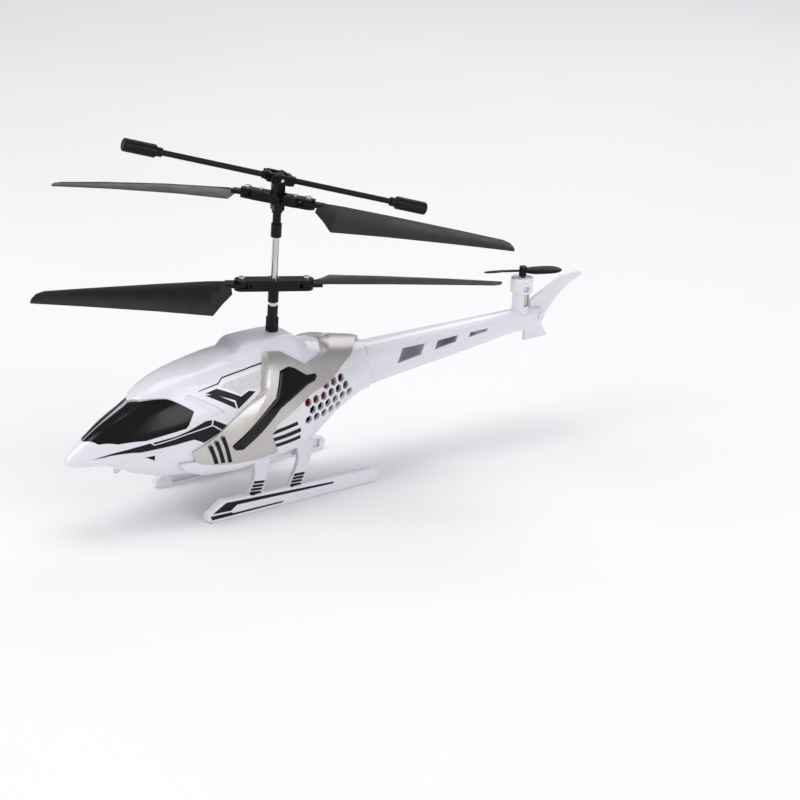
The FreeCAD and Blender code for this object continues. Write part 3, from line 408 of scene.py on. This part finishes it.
def distance_to(points, rim):
    """Distance from each point to the nearest rim point, a batch of the rim at a time."""
    best = np.full(len(points), np.inf)
    batch = 200
    for k in range(0, len(rim), batch):
        part = rim[k:k + batch]
        gap = np.linalg.norm(points[:, None, :] - part[None, :, :], axis=2).min(axis=1)
        best = np.minimum(best, gap)
    return best


def fill(outline, holes=(), step=1.0):
    """Triangles that fill a dense outline round its holes. Returns spots and faces."""
    loops = [flat(outline)] + [flat(h) for h in holes]
    rim = np.vstack(loops)
    low = loops[0].min(axis=0)
    high = loops[0].max(axis=0)
    grid = []
    row_gap = step * 0.866
    rows = int((high[1] - low[1]) / row_gap) + 1
    for r in range(rows):
        y = low[1] + (r + 0.5) * row_gap
        for c in range(int((high[0] - low[0]) / step) + 1):
            grid.append((low[0] + (c + 0.5 * (r % 2)) * step, y))
    grid = np.array(grid)
    keep = inside(grid, loops[0])
    for hole in loops[1:]:
        keep &= ~inside(grid, hole)
    grid = grid[keep]
    if len(grid):
        grid = grid[distance_to(grid, rim) > step * 0.5]
    edges = []
    start = 0
    for loop in loops:
        count = len(loop)
        edges += [(start + k, start + (k + 1) % count) for k in range(count)]
        start += count
    everything = np.vstack([rim, grid]) if len(grid) else rim
    done = delaunay_2d_cdt([Vector(p) for p in everything], edges, [], 0, 1e-5)
    points = np.array([tuple(v) for v in done[0]])
    faces = np.array(done[2])
    centres = points[faces].mean(axis=1)
    keep = inside(centres, loops[0])
    for hole in loops[1:]:
        keep &= ~inside(centres, hole)
    return points / [1.0, GIRTH], faces[keep]


class Sheet:
    """Collects points and faces, then becomes one mesh object."""

    def __init__(self):
        self.points = []
        self.faces = []

    def add(self, points, faces):
        start = len(self.points)
        self.points += [tuple(p) for p in points]
        self.faces += [tuple(start + i for i in face) for face in faces]

    def strip(self, first, second, closed=True):
        """Band of quads between two rows of points."""
        count = len(first)
        last = count if closed else count - 1
        faces = [(k, (k + 1) % count, count + (k + 1) % count, count + k) for k in range(last)]
        self.add(list(first) + list(second), faces)

    def mirror(self):
        """Add the starboard side."""
        start = len(self.points)
        self.points += [(x, -y, z) for x, y, z in self.points]
        self.faces += [tuple(start + i for i in reversed(face)) for face in self.faces]

    def make(self, name, material):
        mesh = bpy.data.meshes.new(name)
        points = [((x + MAST_X) * MM, y * MM, z * MM) for x, y, z in self.points]
        mesh.from_pydata(points, [], self.faces)
        piece = bpy.data.objects.new(name, mesh)
        bpy.context.scene.collection.objects.link(piece)
        clean(mesh)
        mesh.shade_smooth()
        mesh.set_sharp_from_angle(angle=math.radians(SHARP_ANGLE))
        mesh.materials.append(material)
        return piece


def clean(mesh):
    """Weld what meets, drop slivers and turn the faces away from the fuselage's middle line."""
    work = bmesh.new()
    work.from_mesh(mesh)
    weld = WELD * MM
    bmesh.ops.remove_doubles(work, verts=work.verts, dist=weld)
    bmesh.ops.dissolve_degenerate(work, dist=weld * 0.2, edges=work.edges)
    bmesh.ops.recalc_face_normals(work, faces=work.faces)
    score = 0.0
    for face in work.faces:
        middle = face.calc_center_median()
        outward = Vector((0.0, middle.y, middle.z - MIDDLE_Z * MM))
        score += face.normal.dot(outward) * face.calc_area()
    if score < 0:
        bmesh.ops.reverse_faces(work, faces=work.faces)
    work.to_mesh(mesh)
    work.free()


# ---------------------------------------------------------------- materials
class Recipe:
    """One node material, built a step at a time."""

    def __init__(self, name):
        self.material = bpy.data.materials.new(name)
        self.material.use_nodes = True
        self.nodes = self.material.node_tree.nodes
        self.links = self.material.node_tree.links
        self.shader = self.nodes["Principled BSDF"]
        self.place = self.nodes.new("ShaderNodeTexCoord")

    def noise(self, scale, detail=3.0, rough=0.55, stretch=None):
        node = self.nodes.new("ShaderNodeTexNoise")
        node.inputs["Scale"].default_value = scale
        node.inputs["Detail"].default_value = detail
        node.inputs["Roughness"].default_value = rough
        source = self.place.outputs["Object"]
        if stretch is not None:
            mapping = self.nodes.new("ShaderNodeMapping")
            mapping.inputs["Scale"].default_value = stretch
            self.links.new(source, mapping.inputs["Vector"])
            source = mapping.outputs["Vector"]
        self.links.new(source, node.inputs["Vector"])
        return node.outputs["Fac"]

    def remap(self, value, low, high, to_low, to_high):
        node = self.nodes.new("ShaderNodeMapRange")
        node.inputs["From Min"].default_value = low
        node.inputs["From Max"].default_value = high
        node.inputs["To Min"].default_value = to_low
        node.inputs["To Max"].default_value = to_high
        self.links.new(value, node.inputs["Value"])
        return node.outputs["Result"]

    def mix(self, factor, first, second):
        node = self.nodes.new("ShaderNodeMix")
        node.data_type = "RGBA"
        self.links.new(factor, node.inputs["Factor"])
        for socket, colour in ((node.inputs[6], first), (node.inputs[7], second)):
            if isinstance(colour, tuple):
                socket.default_value = (*colour, 1.0)
            else:
                self.links.new(colour, socket)
        return node.outputs[2]

    def bump(self, height, strength, distance, normal=None):
        node = self.nodes.new("ShaderNodeBump")
        node.inputs["Strength"].default_value = strength
        node.inputs["Distance"].default_value = distance
        self.links.new(height, node.inputs["Height"])
        if normal is not None:
            self.links.new(normal, node.inputs["Normal"])
        return node.outputs["Normal"]

    def soft_edges(self, radius):
        node = self.nodes.new("ShaderNodeBevel")
        node.samples = 4
        node.inputs["Radius"].default_value = radius
        return node.outputs["Normal"]

    def join(self, output, socket):
        self.links.new(output, self.shader.inputs[socket])


def shade(colour, factor):
    return tuple(min(1.0, c * factor) for c in colour)


def plastic(name, colour, rough, grain=900.0, grain_depth=0.02, edge=0.00015, coat=0.0, mottle=0.06,
            spread=0.08, shine=0.5):
    """Moulded plastic: faint colour drift, uneven gloss, fine surface grain and softened edges."""
    r = Recipe(name)
    drift = r.remap(r.noise(60.0, 4.0), 0.3, 0.7, 0.0, 1.0)
    r.join(r.mix(drift, shade(colour, 1 - mottle), shade(colour, 1 + mottle * 0.6)), "Base Color")
    smear = r.noise(190.0, 5.0, 0.65)
    r.join(r.remap(smear, 0.25, 0.75, max(0.03, rough - spread), rough + spread), "Roughness")
    fine = r.noise(grain, 3.0)
    r.join(r.bump(fine, 0.35, grain_depth * MM, r.soft_edges(edge)), "Normal")
    r.shader.inputs["IOR"].default_value = 1.49
    r.shader.inputs["Specular IOR Level"].default_value = shine
    if coat > 0:
        r.shader.inputs["Coat Weight"].default_value = coat
        r.shader.inputs["Coat Roughness"].default_value = 0.05
    return r.material


def metal(name, colour, rough, stretch, edge=0.00008):
    """Turned or drawn metal: streaks along one direction, small stains and softened edges."""
    r = Recipe(name)
    streak = r.noise(420.0, 4.0, 0.6, stretch)
    stain = r.noise(150.0, 4.0)
    r.join(r.mix(r.remap(stain, 0.35, 0.7, 0.0, 1.0), shade(colour, 1.06), shade(colour, 0.82)), "Base Color")
    r.join(r.remap(streak, 0.3, 0.7, rough * 0.7, rough * 1.5), "Roughness")
    r.shader.inputs["Metallic"].default_value = 1.0
    r.join(r.bump(streak, 0.25, 0.012 * MM, r.soft_edges(edge)), "Normal")
    return r.material


def silver_paint():
    """Warm silver paint with fine flakes under a thin lacquer."""
    r = Recipe("silver_paint")
    flakes = r.noise(5200.0, 2.0, 0.7)
    drift = r.noise(45.0, 3.0)
    base = r.mix(r.remap(drift, 0.3, 0.7, 0.0, 1.0), (0.50, 0.475, 0.455), (0.585, 0.56, 0.545))
    r.join(r.mix(r.remap(flakes, 0.52, 0.72, 0.0, 0.55), base, (0.74, 0.72, 0.7)), "Base Color")
    r.join(r.remap(flakes, 0.3, 0.7, 0.30, 0.44), "Roughness")
    r.shader.inputs["Metallic"].default_value = 0.72
    r.shader.inputs["Coat Weight"].default_value = 0.25
    r.shader.inputs["Coat Roughness"].default_value = 0.18
    r.join(r.bump(r.noise(2600.0, 2.0), 0.2, 0.01 * MM, r.soft_edges(0.0003)), "Normal")
    return r.material


def dark_glass():
    """Nearly black tinted moulding with a deep gloss."""
    r = Recipe("dark_glass")
    tint = r.remap(r.noise(35.0, 3.0), 0.3, 0.7, 0.0, 1.0)
    r.join(r.mix(tint, (0.002, 0.002, 0.0025), (0.006, 0.005, 0.005)), "Base Color")
    haze = r.noise(130.0, 5.0, 0.65)
    r.join(r.remap(haze, 0.3, 0.75, 0.12, 0.2), "Roughness")
    r.shader.inputs["Specular IOR Level"].default_value = 0.24
    r.shader.inputs["Coat Weight"].default_value = 0.08
    r.shader.inputs["Coat Roughness"].default_value = 0.03
    r.join(r.bump(r.noise(55.0, 2.0), 0.15, 0.05 * MM), "Normal")
    return r.material


def speckled_patch():
    """Pale printed patch dusted with dark and bright specks."""
    r = Recipe("speckled_patch")
    dust = r.noise(3200.0, 2.0, 0.8)
    clump = r.noise(500.0, 3.0)
    base = r.mix(r.remap(clump, 0.35, 0.65, 0.0, 1.0), (0.66, 0.65, 0.65), (0.74, 0.73, 0.735))
    r.join(r.mix(r.remap(dust, 0.5, 0.68, 0.0, 0.6), base, (0.46, 0.45, 0.46)), "Base Color")
    r.join(r.remap(dust, 0.3, 0.7, 0.28, 0.5), "Roughness")
    return r.material


def ink(name, colour):
    """Printed decal ink: slightly uneven density and gloss."""
    r = Recipe(name)
    density = r.noise(420.0, 4.0)
    r.join(r.mix(r.remap(density, 0.3, 0.75, 0.0, 1.0), colour, shade(colour, 1.7)), "Base Color")
    r.join(r.remap(r.noise(240.0, 4.0), 0.3, 0.7, 0.3, 0.46), "Roughness")
    r.shader.inputs["Specular IOR Level"].default_value = 0.2
    return r.material


def lens():
    """Clear moulding with a faint cloudiness."""
    r = Recipe("clear_lens")
    cloud = r.noise(300.0, 3.0)
    r.join(r.mix(r.remap(cloud, 0.3, 0.7, 0.0, 1.0), (0.9, 0.92, 0.95), (0.8, 0.83, 0.88)), "Base Color")
    r.join(r.remap(cloud, 0.3, 0.7, 0.02, 0.09), "Roughness")
    r.shader.inputs["Transmission Weight"].default_value = 0.85
    r.shader.inputs["IOR"].default_value = 1.5
    return r.material


def circuit():
    """Solder mask with fine lighter traces."""
    r = Recipe("circuit_green")
    lines = r.nodes.new("ShaderNodeTexWave")
    lines.inputs["Scale"].default_value = 700.0
    lines.inputs["Distortion"].default_value = 2.5
    r.links.new(r.place.outputs["Object"], lines.inputs["Vector"])
    traces = r.remap(lines.outputs["Fac"], 0.55, 0.75, 0.0, 1.0)
    r.join(r.mix(traces, (0.01, 0.13, 0.045), (0.05, 0.27, 0.1)), "Base Color")
    r.join(r.remap(r.noise(400.0), 0.3, 0.7, 0.22, 0.4), "Roughness")
    return r.material


white_gloss = plastic("white_gloss", (0.80, 0.80, 0.86), 0.2, grain=700.0, grain_depth=0.01, coat=0.25,
                      mottle=0.015, spread=0.05)
gloss_black = plastic("gloss_black", (0.004, 0.004, 0.005), 0.12, grain=500.0, grain_depth=0.008, coat=0.12,
                      mottle=0.1, spread=0.04, shine=0.22)
satin_black = plastic("satin_black", (0.006, 0.006, 0.007), 0.36, grain=2400.0, grain_depth=0.03, mottle=0.2,
                      spread=0.12, shine=0.17)
blade_black = plastic("blade_charcoal", (0.008, 0.008, 0.009), 0.36, grain=1800.0, grain_depth=0.03,
                      mottle=0.15, spread=0.1, shine=0.17)
frame_black = plastic("frame_black", (0.014, 0.014, 0.016), 0.45, grain=1500.0, grain_depth=0.03, mottle=0.2,
                      shine=0.3)
rubber_black = plastic("rubber_black", (0.009, 0.009, 0.009), 0.6, grain=1300.0, grain_depth=0.05,
                       mottle=0.25, shine=0.25)
nylon = plastic("natural_nylon", (0.72, 0.70, 0.62), 0.4, grain=1100.0, grain_depth=0.03, mottle=0.06)
red_wrap = plastic("red_wrap", (0.42, 0.015, 0.02), 0.28, grain=500.0, grain_depth=0.05, mottle=0.2)
shaft_steel = metal("shaft_steel", (0.60, 0.58, 0.565), 0.2, (1.0, 1.0, 0.05))
screw_steel = metal("screw_steel", (0.78, 0.70, 0.58), 0.2, (1.0, 1.0, 3.0))
motor_steel = metal("motor_steel", (0.62, 0.56, 0.48), 0.22, (1.0, 1.0, 0.08))
bearing_steel = metal("bearing_steel", (0.6, 0.6, 0.6), 0.25, (1.0, 1.0, 4.0))
brass = metal("pinion_brass", (0.72, 0.5, 0.2), 0.22, (1.0, 1.0, 3.0))
silver = silver_paint()
glass = dark_glass()
black_ink = ink("black_ink", (0.005, 0.004, 0.005))
speckle = speckled_patch()
clear_lens = lens()
board_green = circuit()

# the CAD nodes that are kept as they are, by what they are made of
NODE_FINISH = [
    (white_gloss, ["tail_boom", "tail_fin", "boom_collar", "tail_motor_tube", "tail_motor_cap", "skid_port",
                   "skid_starboard", "strut_sockets", "side_skirts"]),
    (satin_black, ["lower_hub", "rotor_head", "shaft_collar", "blade_holder", "flybar_cradle", "link_rod_a",
                   "link_rod_b", "tail_propeller", "flybar_rods", "flybar_weights"]),
    (blade_black, ["lower_blade_a", "lower_blade_b", "upper_blade_a", "upper_blade_b"]),
    (frame_black, ["main_frame", "switch_housing", "switch_slider", "charging_socket"]),
    (rubber_black, ["mast_boot"]),
    (nylon, ["lower_main_gear", "upper_main_gear"]),
    (brass, ["lower_pinion", "upper_pinion"]),
    (shaft_steel, ["outer_shaft", "inner_shaft"]),
    (bearing_steel, ["mast_bearings", "foot_bearing"]),
    (motor_steel, ["tail_motor", "lower_motor", "upper_motor"]),
    (screw_steel, ["frame_screws", "lower_blade_screws", "upper_blade_screws", "holder_screws", "head_pins"]),
    (red_wrap, ["battery"]),
    (board_green, ["circuit_board"]),
    (clear_lens, ["nose_lamp"]),
]


def finish_nodes():
    for material, names in NODE_FINISH:
        for name in names:
            node = bpy.data.objects[name]
            node.data.materials.clear()
            node.data.materials.append(material)


# ---------------------------------------------------------------- fuselage pieces
def hexagons():
    """Honeycomb cells as dense outlines on the skin; the rows climb a little towards the tail."""
    cells = []
    area = np.array(COMB_AREA)
    tilt = math.radians(COMB_TILT)
    rearward = np.array((-math.cos(tilt), math.sin(tilt)))
    upward = np.array((math.sin(tilt), math.cos(tilt)))
    reach = COMB_HOLE / math.sqrt(3)
    row_gap = COMB_PITCH * math.sqrt(3) / 2
    for row in COMB_ROWS:
        for column in COMB_COLUMNS:
            along = (column + 0.5 * (row % 2)) * COMB_PITCH
            x, z = np.array(COMB_START) + along * rearward + row * row_gap * upward
            if not inside(np.array([[x, z]]), area)[0]:
                continue
            turns = [math.radians(60 * k + 30) for k in range(6)]
            cell = [(x + reach * math.cos(turn), z + reach * math.sin(turn)) for turn in turns]
            cells.append(dense(on_skin(cell), WIDE_RIM_STEP))
    return cells


def body_skin():
    """White shell with the windshield, the long side recess and the honeycomb left out of it."""
    tail, nose = ALONG[0], ALONG[-1]
    outline = dense([(tail, 0.0), (nose, 0.0), (nose, 1.0), (tail, 1.0)], FILL_STEP)
    glass_hole = dense(on_skin(WINDSHIELD), RIM_STEP)
    recess = dense(on_skin(RECESS), RIM_STEP)
    cells = hexagons()
    spots, faces = fill(outline, [glass_hole, recess] + cells, SKIN_STEP)
    sheet = Sheet()
    sheet.add(lift(spots, 0.0), faces)
    cuts = [(glass_hole, GLASS_WALL), (recess, RECESS_WALL)] + [(cell, COMB_WALL) for cell in cells]
    for hole, depth in cuts:
        lip = grown(hole, -RIM_BEVEL)
        sheet.strip(lift(hole, 0.0), lift(lip, -RIM_DROP))
        sheet.strip(lift(lip, -RIM_DROP), lift(lip, -depth))
    floor_spots, floor_faces = fill(grown(recess, -RIM_BEVEL), step=FILL_STEP)
    sheet.add(lift(floor_spots, -RECESS_FLOOR), floor_faces)
    tip = lift([(nose, share) for share in np.linspace(0, 1, TIP_POINTS)], 0.0)
    sheet.add(tip, [range(TIP_POINTS)])
    sheet.mirror()
    return sheet.make("body_skin", white_gloss)


def windshield_skin():
    """Dark glass just under the skin, and deeper under the brow."""
    spots, faces = fill(dense(on_skin(WINDSHIELD), WIDE_RIM_STEP), step=FILL_STEP)
    base = look_up(TABLE, spots[:, 0], spots[:, 1])
    below = crease_height(base[:, 0]) - base[:, 2]
    sunk = GLASS_SUNK + GLASS_SUNK_AT_BROW * (1 - smooth_step(below / GLASS_SUNK_SPREAD))
    sheet = Sheet()
    sheet.add(lift(spots, -sunk), faces)
    sheet.mirror()
    return sheet.make("windshield_skin", glass)


def raised(name, outline, rise, material):
    """Panel that stands proud of the skin with a small rounded edge; both sides of the body."""
    rim = dense(on_skin(outline), RIM_STEP)
    shoulder = lift(grown(rim, PANEL_EDGE * 0.85), rise * 0.55)
    sheet = Sheet()
    sheet.strip(lift(grown(rim, PANEL_EDGE), PANEL_FOOT), shoulder)
    sheet.strip(shoulder, lift(rim, rise))
    spots, faces = fill(rim, step=FILL_STEP)
    sheet.add(lift(spots, rise), faces)
    sheet.mirror()
    return sheet.make(name, material)


def decal(name, outline, material=black_ink, above=DECAL_LIFT, cowl=True):
    """Thin print that follows the skin; both sides of the body."""
    spots, faces = fill(dense(on_skin(outline), PRINT_RIM_STEP), step=FILL_STEP)
    sheet = Sheet()
    sheet.add(lift(spots, above, cowl), faces)
    sheet.mirror()
    return sheet.make(name, material)


def armour():
    """Silver side plates with a bevelled edge, and the glossy inlays in them."""
    outer, face = dense_pair(on_skin(ARMOUR_OUTER), on_skin(ARMOUR_FACE), RIM_STEP)
    inset = dense(on_skin(INSET), RIM_STEP)
    shoulder = lift(outer, ARMOUR_RISE * ARMOUR_SHOULDER, False)
    sheet = Sheet()
    sheet.strip(lift(grown(outer, 0.1), ARMOUR_FOOT, False), shoulder)
    sheet.strip(shoulder, lift(face, ARMOUR_RISE, False))
    spots, faces = fill(face, [inset], ARMOUR_STEP)
    sheet.add(lift(spots, ARMOUR_RISE, False), faces)
    groove = grown(inset, -INSET_GROOVE)
    sheet.strip(lift(inset, ARMOUR_RISE, False), lift(groove, ARMOUR_RISE - INSET_DEPTH, False))
    sheet.points = [(x, max(y, ARMOUR_GAP), z) for x, y, z in sheet.points]
    sheet.mirror()
    plates = sheet.make("armour_plates", silver)
    inlay = Sheet()
    levels = [(inward, ARMOUR_RISE + above) for inward, above in INSET_EDGE]
    for (inward_a, rise_a), (inward_b, rise_b) in zip(levels, levels[1:]):
        inlay.strip(lift(grown(inset, inward_a), rise_a, False), lift(grown(inset, inward_b), rise_b, False))
    top_inward, top_rise = levels[-1]
    spots, faces = fill(grown(inset, top_inward), step=FILL_STEP)
    inlay.add(lift(spots, top_rise, False), faces)
    inlay.mirror()
    return plates, inlay.make("armour_inlays", gloss_black)


def place(piece, nodes=()):
    """Everything rebuilt here belongs to the airframe; nodes are the CAD pieces it stands for."""
    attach(piece, "airframe")
    if nodes:
        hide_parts(*nodes)


def fuselage():
    place(body_skin(), ["nose_shell", "roof_shell", "belly_pan", "rear_shell"])
    place(windshield_skin(), ["windshield"])
    plates, inlays = armour()
    place(plates, ["armour_port", "armour_starboard"])
    place(inlays, ["armour_inset_port", "armour_inset_starboard"])
    place(raised("chin_panel", CHIN, CHIN_RISE, white_gloss))
    place(decal("chin_mark", CHIN_MARK, above=CHIN_RISE + 0.07))
    for name, outline in (("nose_band", BAND), ("nose_band_top", BAND_TOP), ("nose_band_rear", BAND_REAR),
                          ("roof_pinstripe", ROOF_LINE), ("roof_chevron_top", CHEVRON_UP),
                          ("roof_chevron_low", CHEVRON_LOW)):
        place(decal(name, outline))
    place(decal("roof_patch", PATCH, speckle, PATCH_LIFT))
    for k, outline in enumerate(SIDE_STRIPES):
        place(decal("side_stripe_%d" % k, outline))
    for k, outline in enumerate(ARMOUR_STRIPES):
        stripe = decal("armour_stripe_%d" % k, outline, above=ARMOUR_RISE + DECAL_LIFT, cowl=False)
        place(stripe)


def print_skid_stripes():
    for k, outline in enumerate(SKID_STRIPES):
        sheet = Sheet()
        sheet.add([(x, SKID_FACE + DECAL_LIFT, z) for x, z in outline], [range(len(outline))])
        sheet.mirror()
        place(sheet.make("skid_stripe_%d" % k, black_ink))


def on_port_skid(x, z):
    """Spot a hair outside the port skid, seen square from the side."""
    skid = bpy.data.objects["skid_port"]
    back = skid.matrix_world.inverted()
    eye = back @ Vector(((x + MAST_X) * MM, SIDE_EYE_Y * MM, z * MM))
    found, spot, _, _ = skid.ray_cast(eye, back.to_3x3() @ Vector((0, -1, 0)))
    if not found:
        raise ValueError("no strut at x %.1f, z %.1f" % (x, z))
    return (x, (skid.matrix_world @ spot).y / MM + RUNG_LIFT, z)


def print_rungs():
    """Evenly spaced dark rungs down each strut, from the first to the last one given."""
    steps = np.linspace(0, 1, RUNG_COLUMNS)[:, None]
    for strut, (first, last) in enumerate(RUNGS):
        sheet = Sheet()
        for k in range(RUNG_COUNT):
            share = k / (RUNG_COUNT - 1)
            corners = np.array(first) * (1 - share) + np.array(last) * share
            rows = []
            for rear, front in ((corners[0], corners[1]), (corners[3], corners[2])):
                rows.append([on_port_skid(x, z) for x, z in rear * (1 - steps) + front * steps])
            sheet.strip(rows[0], rows[1], closed=False)
        sheet.mirror()
        place(sheet.make("strut_rungs_%d" % strut, black_ink))


# ---------------------------------------------------------------- stage, light and camera
# the camera's axes, and its place in millimetres from the foot of the mast
CAMERA_RIGHT = (-0.790497, 0.609166, 0.063493)
CAMERA_UP = (-0.187834, -0.339800, 0.921550)
CAMERA_BACK = (0.582952, 0.716557, 0.383033)
CAMERA_AT = (490.877, 683.999, 388.158)
LENS = 105.706


def camera():
    data = bpy.data.cameras.new("camera")
    data.lens = LENS
    data.sensor_width = 36.0
    data.clip_start = 0.01
    data.clip_end = 10.0
    piece = bpy.data.objects.new("camera", data)
    bpy.context.scene.collection.objects.link(piece)
    at = Vector(((CAMERA_AT[0] + MAST_X) * MM, CAMERA_AT[1] * MM, CAMERA_AT[2] * MM))
    turn = Matrix((CAMERA_RIGHT, CAMERA_UP, CAMERA_BACK)).transposed()
    piece.matrix_world = Matrix.Translation(at) @ turn.to_4x4()
    bpy.context.scene.camera = piece


def area_light(name, at, size, power, colour=(1.0, 1.0, 1.0), aim=(0.0, 0.0, 0.06)):
    data = bpy.data.lights.new(name, "AREA")
    data.shape = "RECTANGLE"
    data.size = size[0]
    data.size_y = size[1]
    data.energy = power
    data.color = colour
    piece = bpy.data.objects.new(name, data)
    bpy.context.scene.collection.objects.link(piece)
    piece.location = at
    piece.rotation_euler = (Vector(aim) - Vector(at)).to_track_quat("-Z", "Y").to_euler()


def stage():
    """Pale floor, even surrounding light, four area lights and a plain colour transform."""
    floor_finish = Recipe("stage_floor")
    drift = floor_finish.noise(3.0)
    floor_finish.join(floor_finish.mix(drift, (0.90, 0.90, 0.90), (0.94, 0.94, 0.94)), "Base Color")
    floor_finish.join(floor_finish.remap(drift, 0.3, 0.7, 0.55, 0.7), "Roughness")
    bpy.ops.mesh.primitive_plane_add(size=8.0, location=(0, 0, 0))
    floor = bpy.context.object
    floor.name = "stage_floor"
    floor.data.materials.append(floor_finish.material)
    world = bpy.data.worlds.new("studio")
    bpy.context.scene.world = world
    world.use_nodes = True
    background = world.node_tree.nodes["Background"]
    background.inputs["Color"].default_value = (0.93, 0.94, 1.0, 1.0)
    background.inputs["Strength"].default_value = 0.41
    area_light("key", (1.0, -0.15, 0.95), (0.7, 0.7), 7.5, (1.0, 0.99, 0.97), (0.03, 0.0, 0.06))
    area_light("side", (-0.25, 1.25, 0.55), (0.9, 0.6), 5.0)
    area_light("rim", (-0.9, -0.4, 0.7), (0.8, 0.4), 2.0)
    area_light("top", (-0.1, -0.2, 1.2), (0.9, 0.7), 5.0)
    scene = bpy.context.scene
    scene.view_settings.view_transform = "Standard"
    scene.view_settings.look = "None"
    scene.view_settings.exposure = 0.0


finish_nodes()
fuselage()
print_skid_stripes()
print_rungs()
camera()
stage()
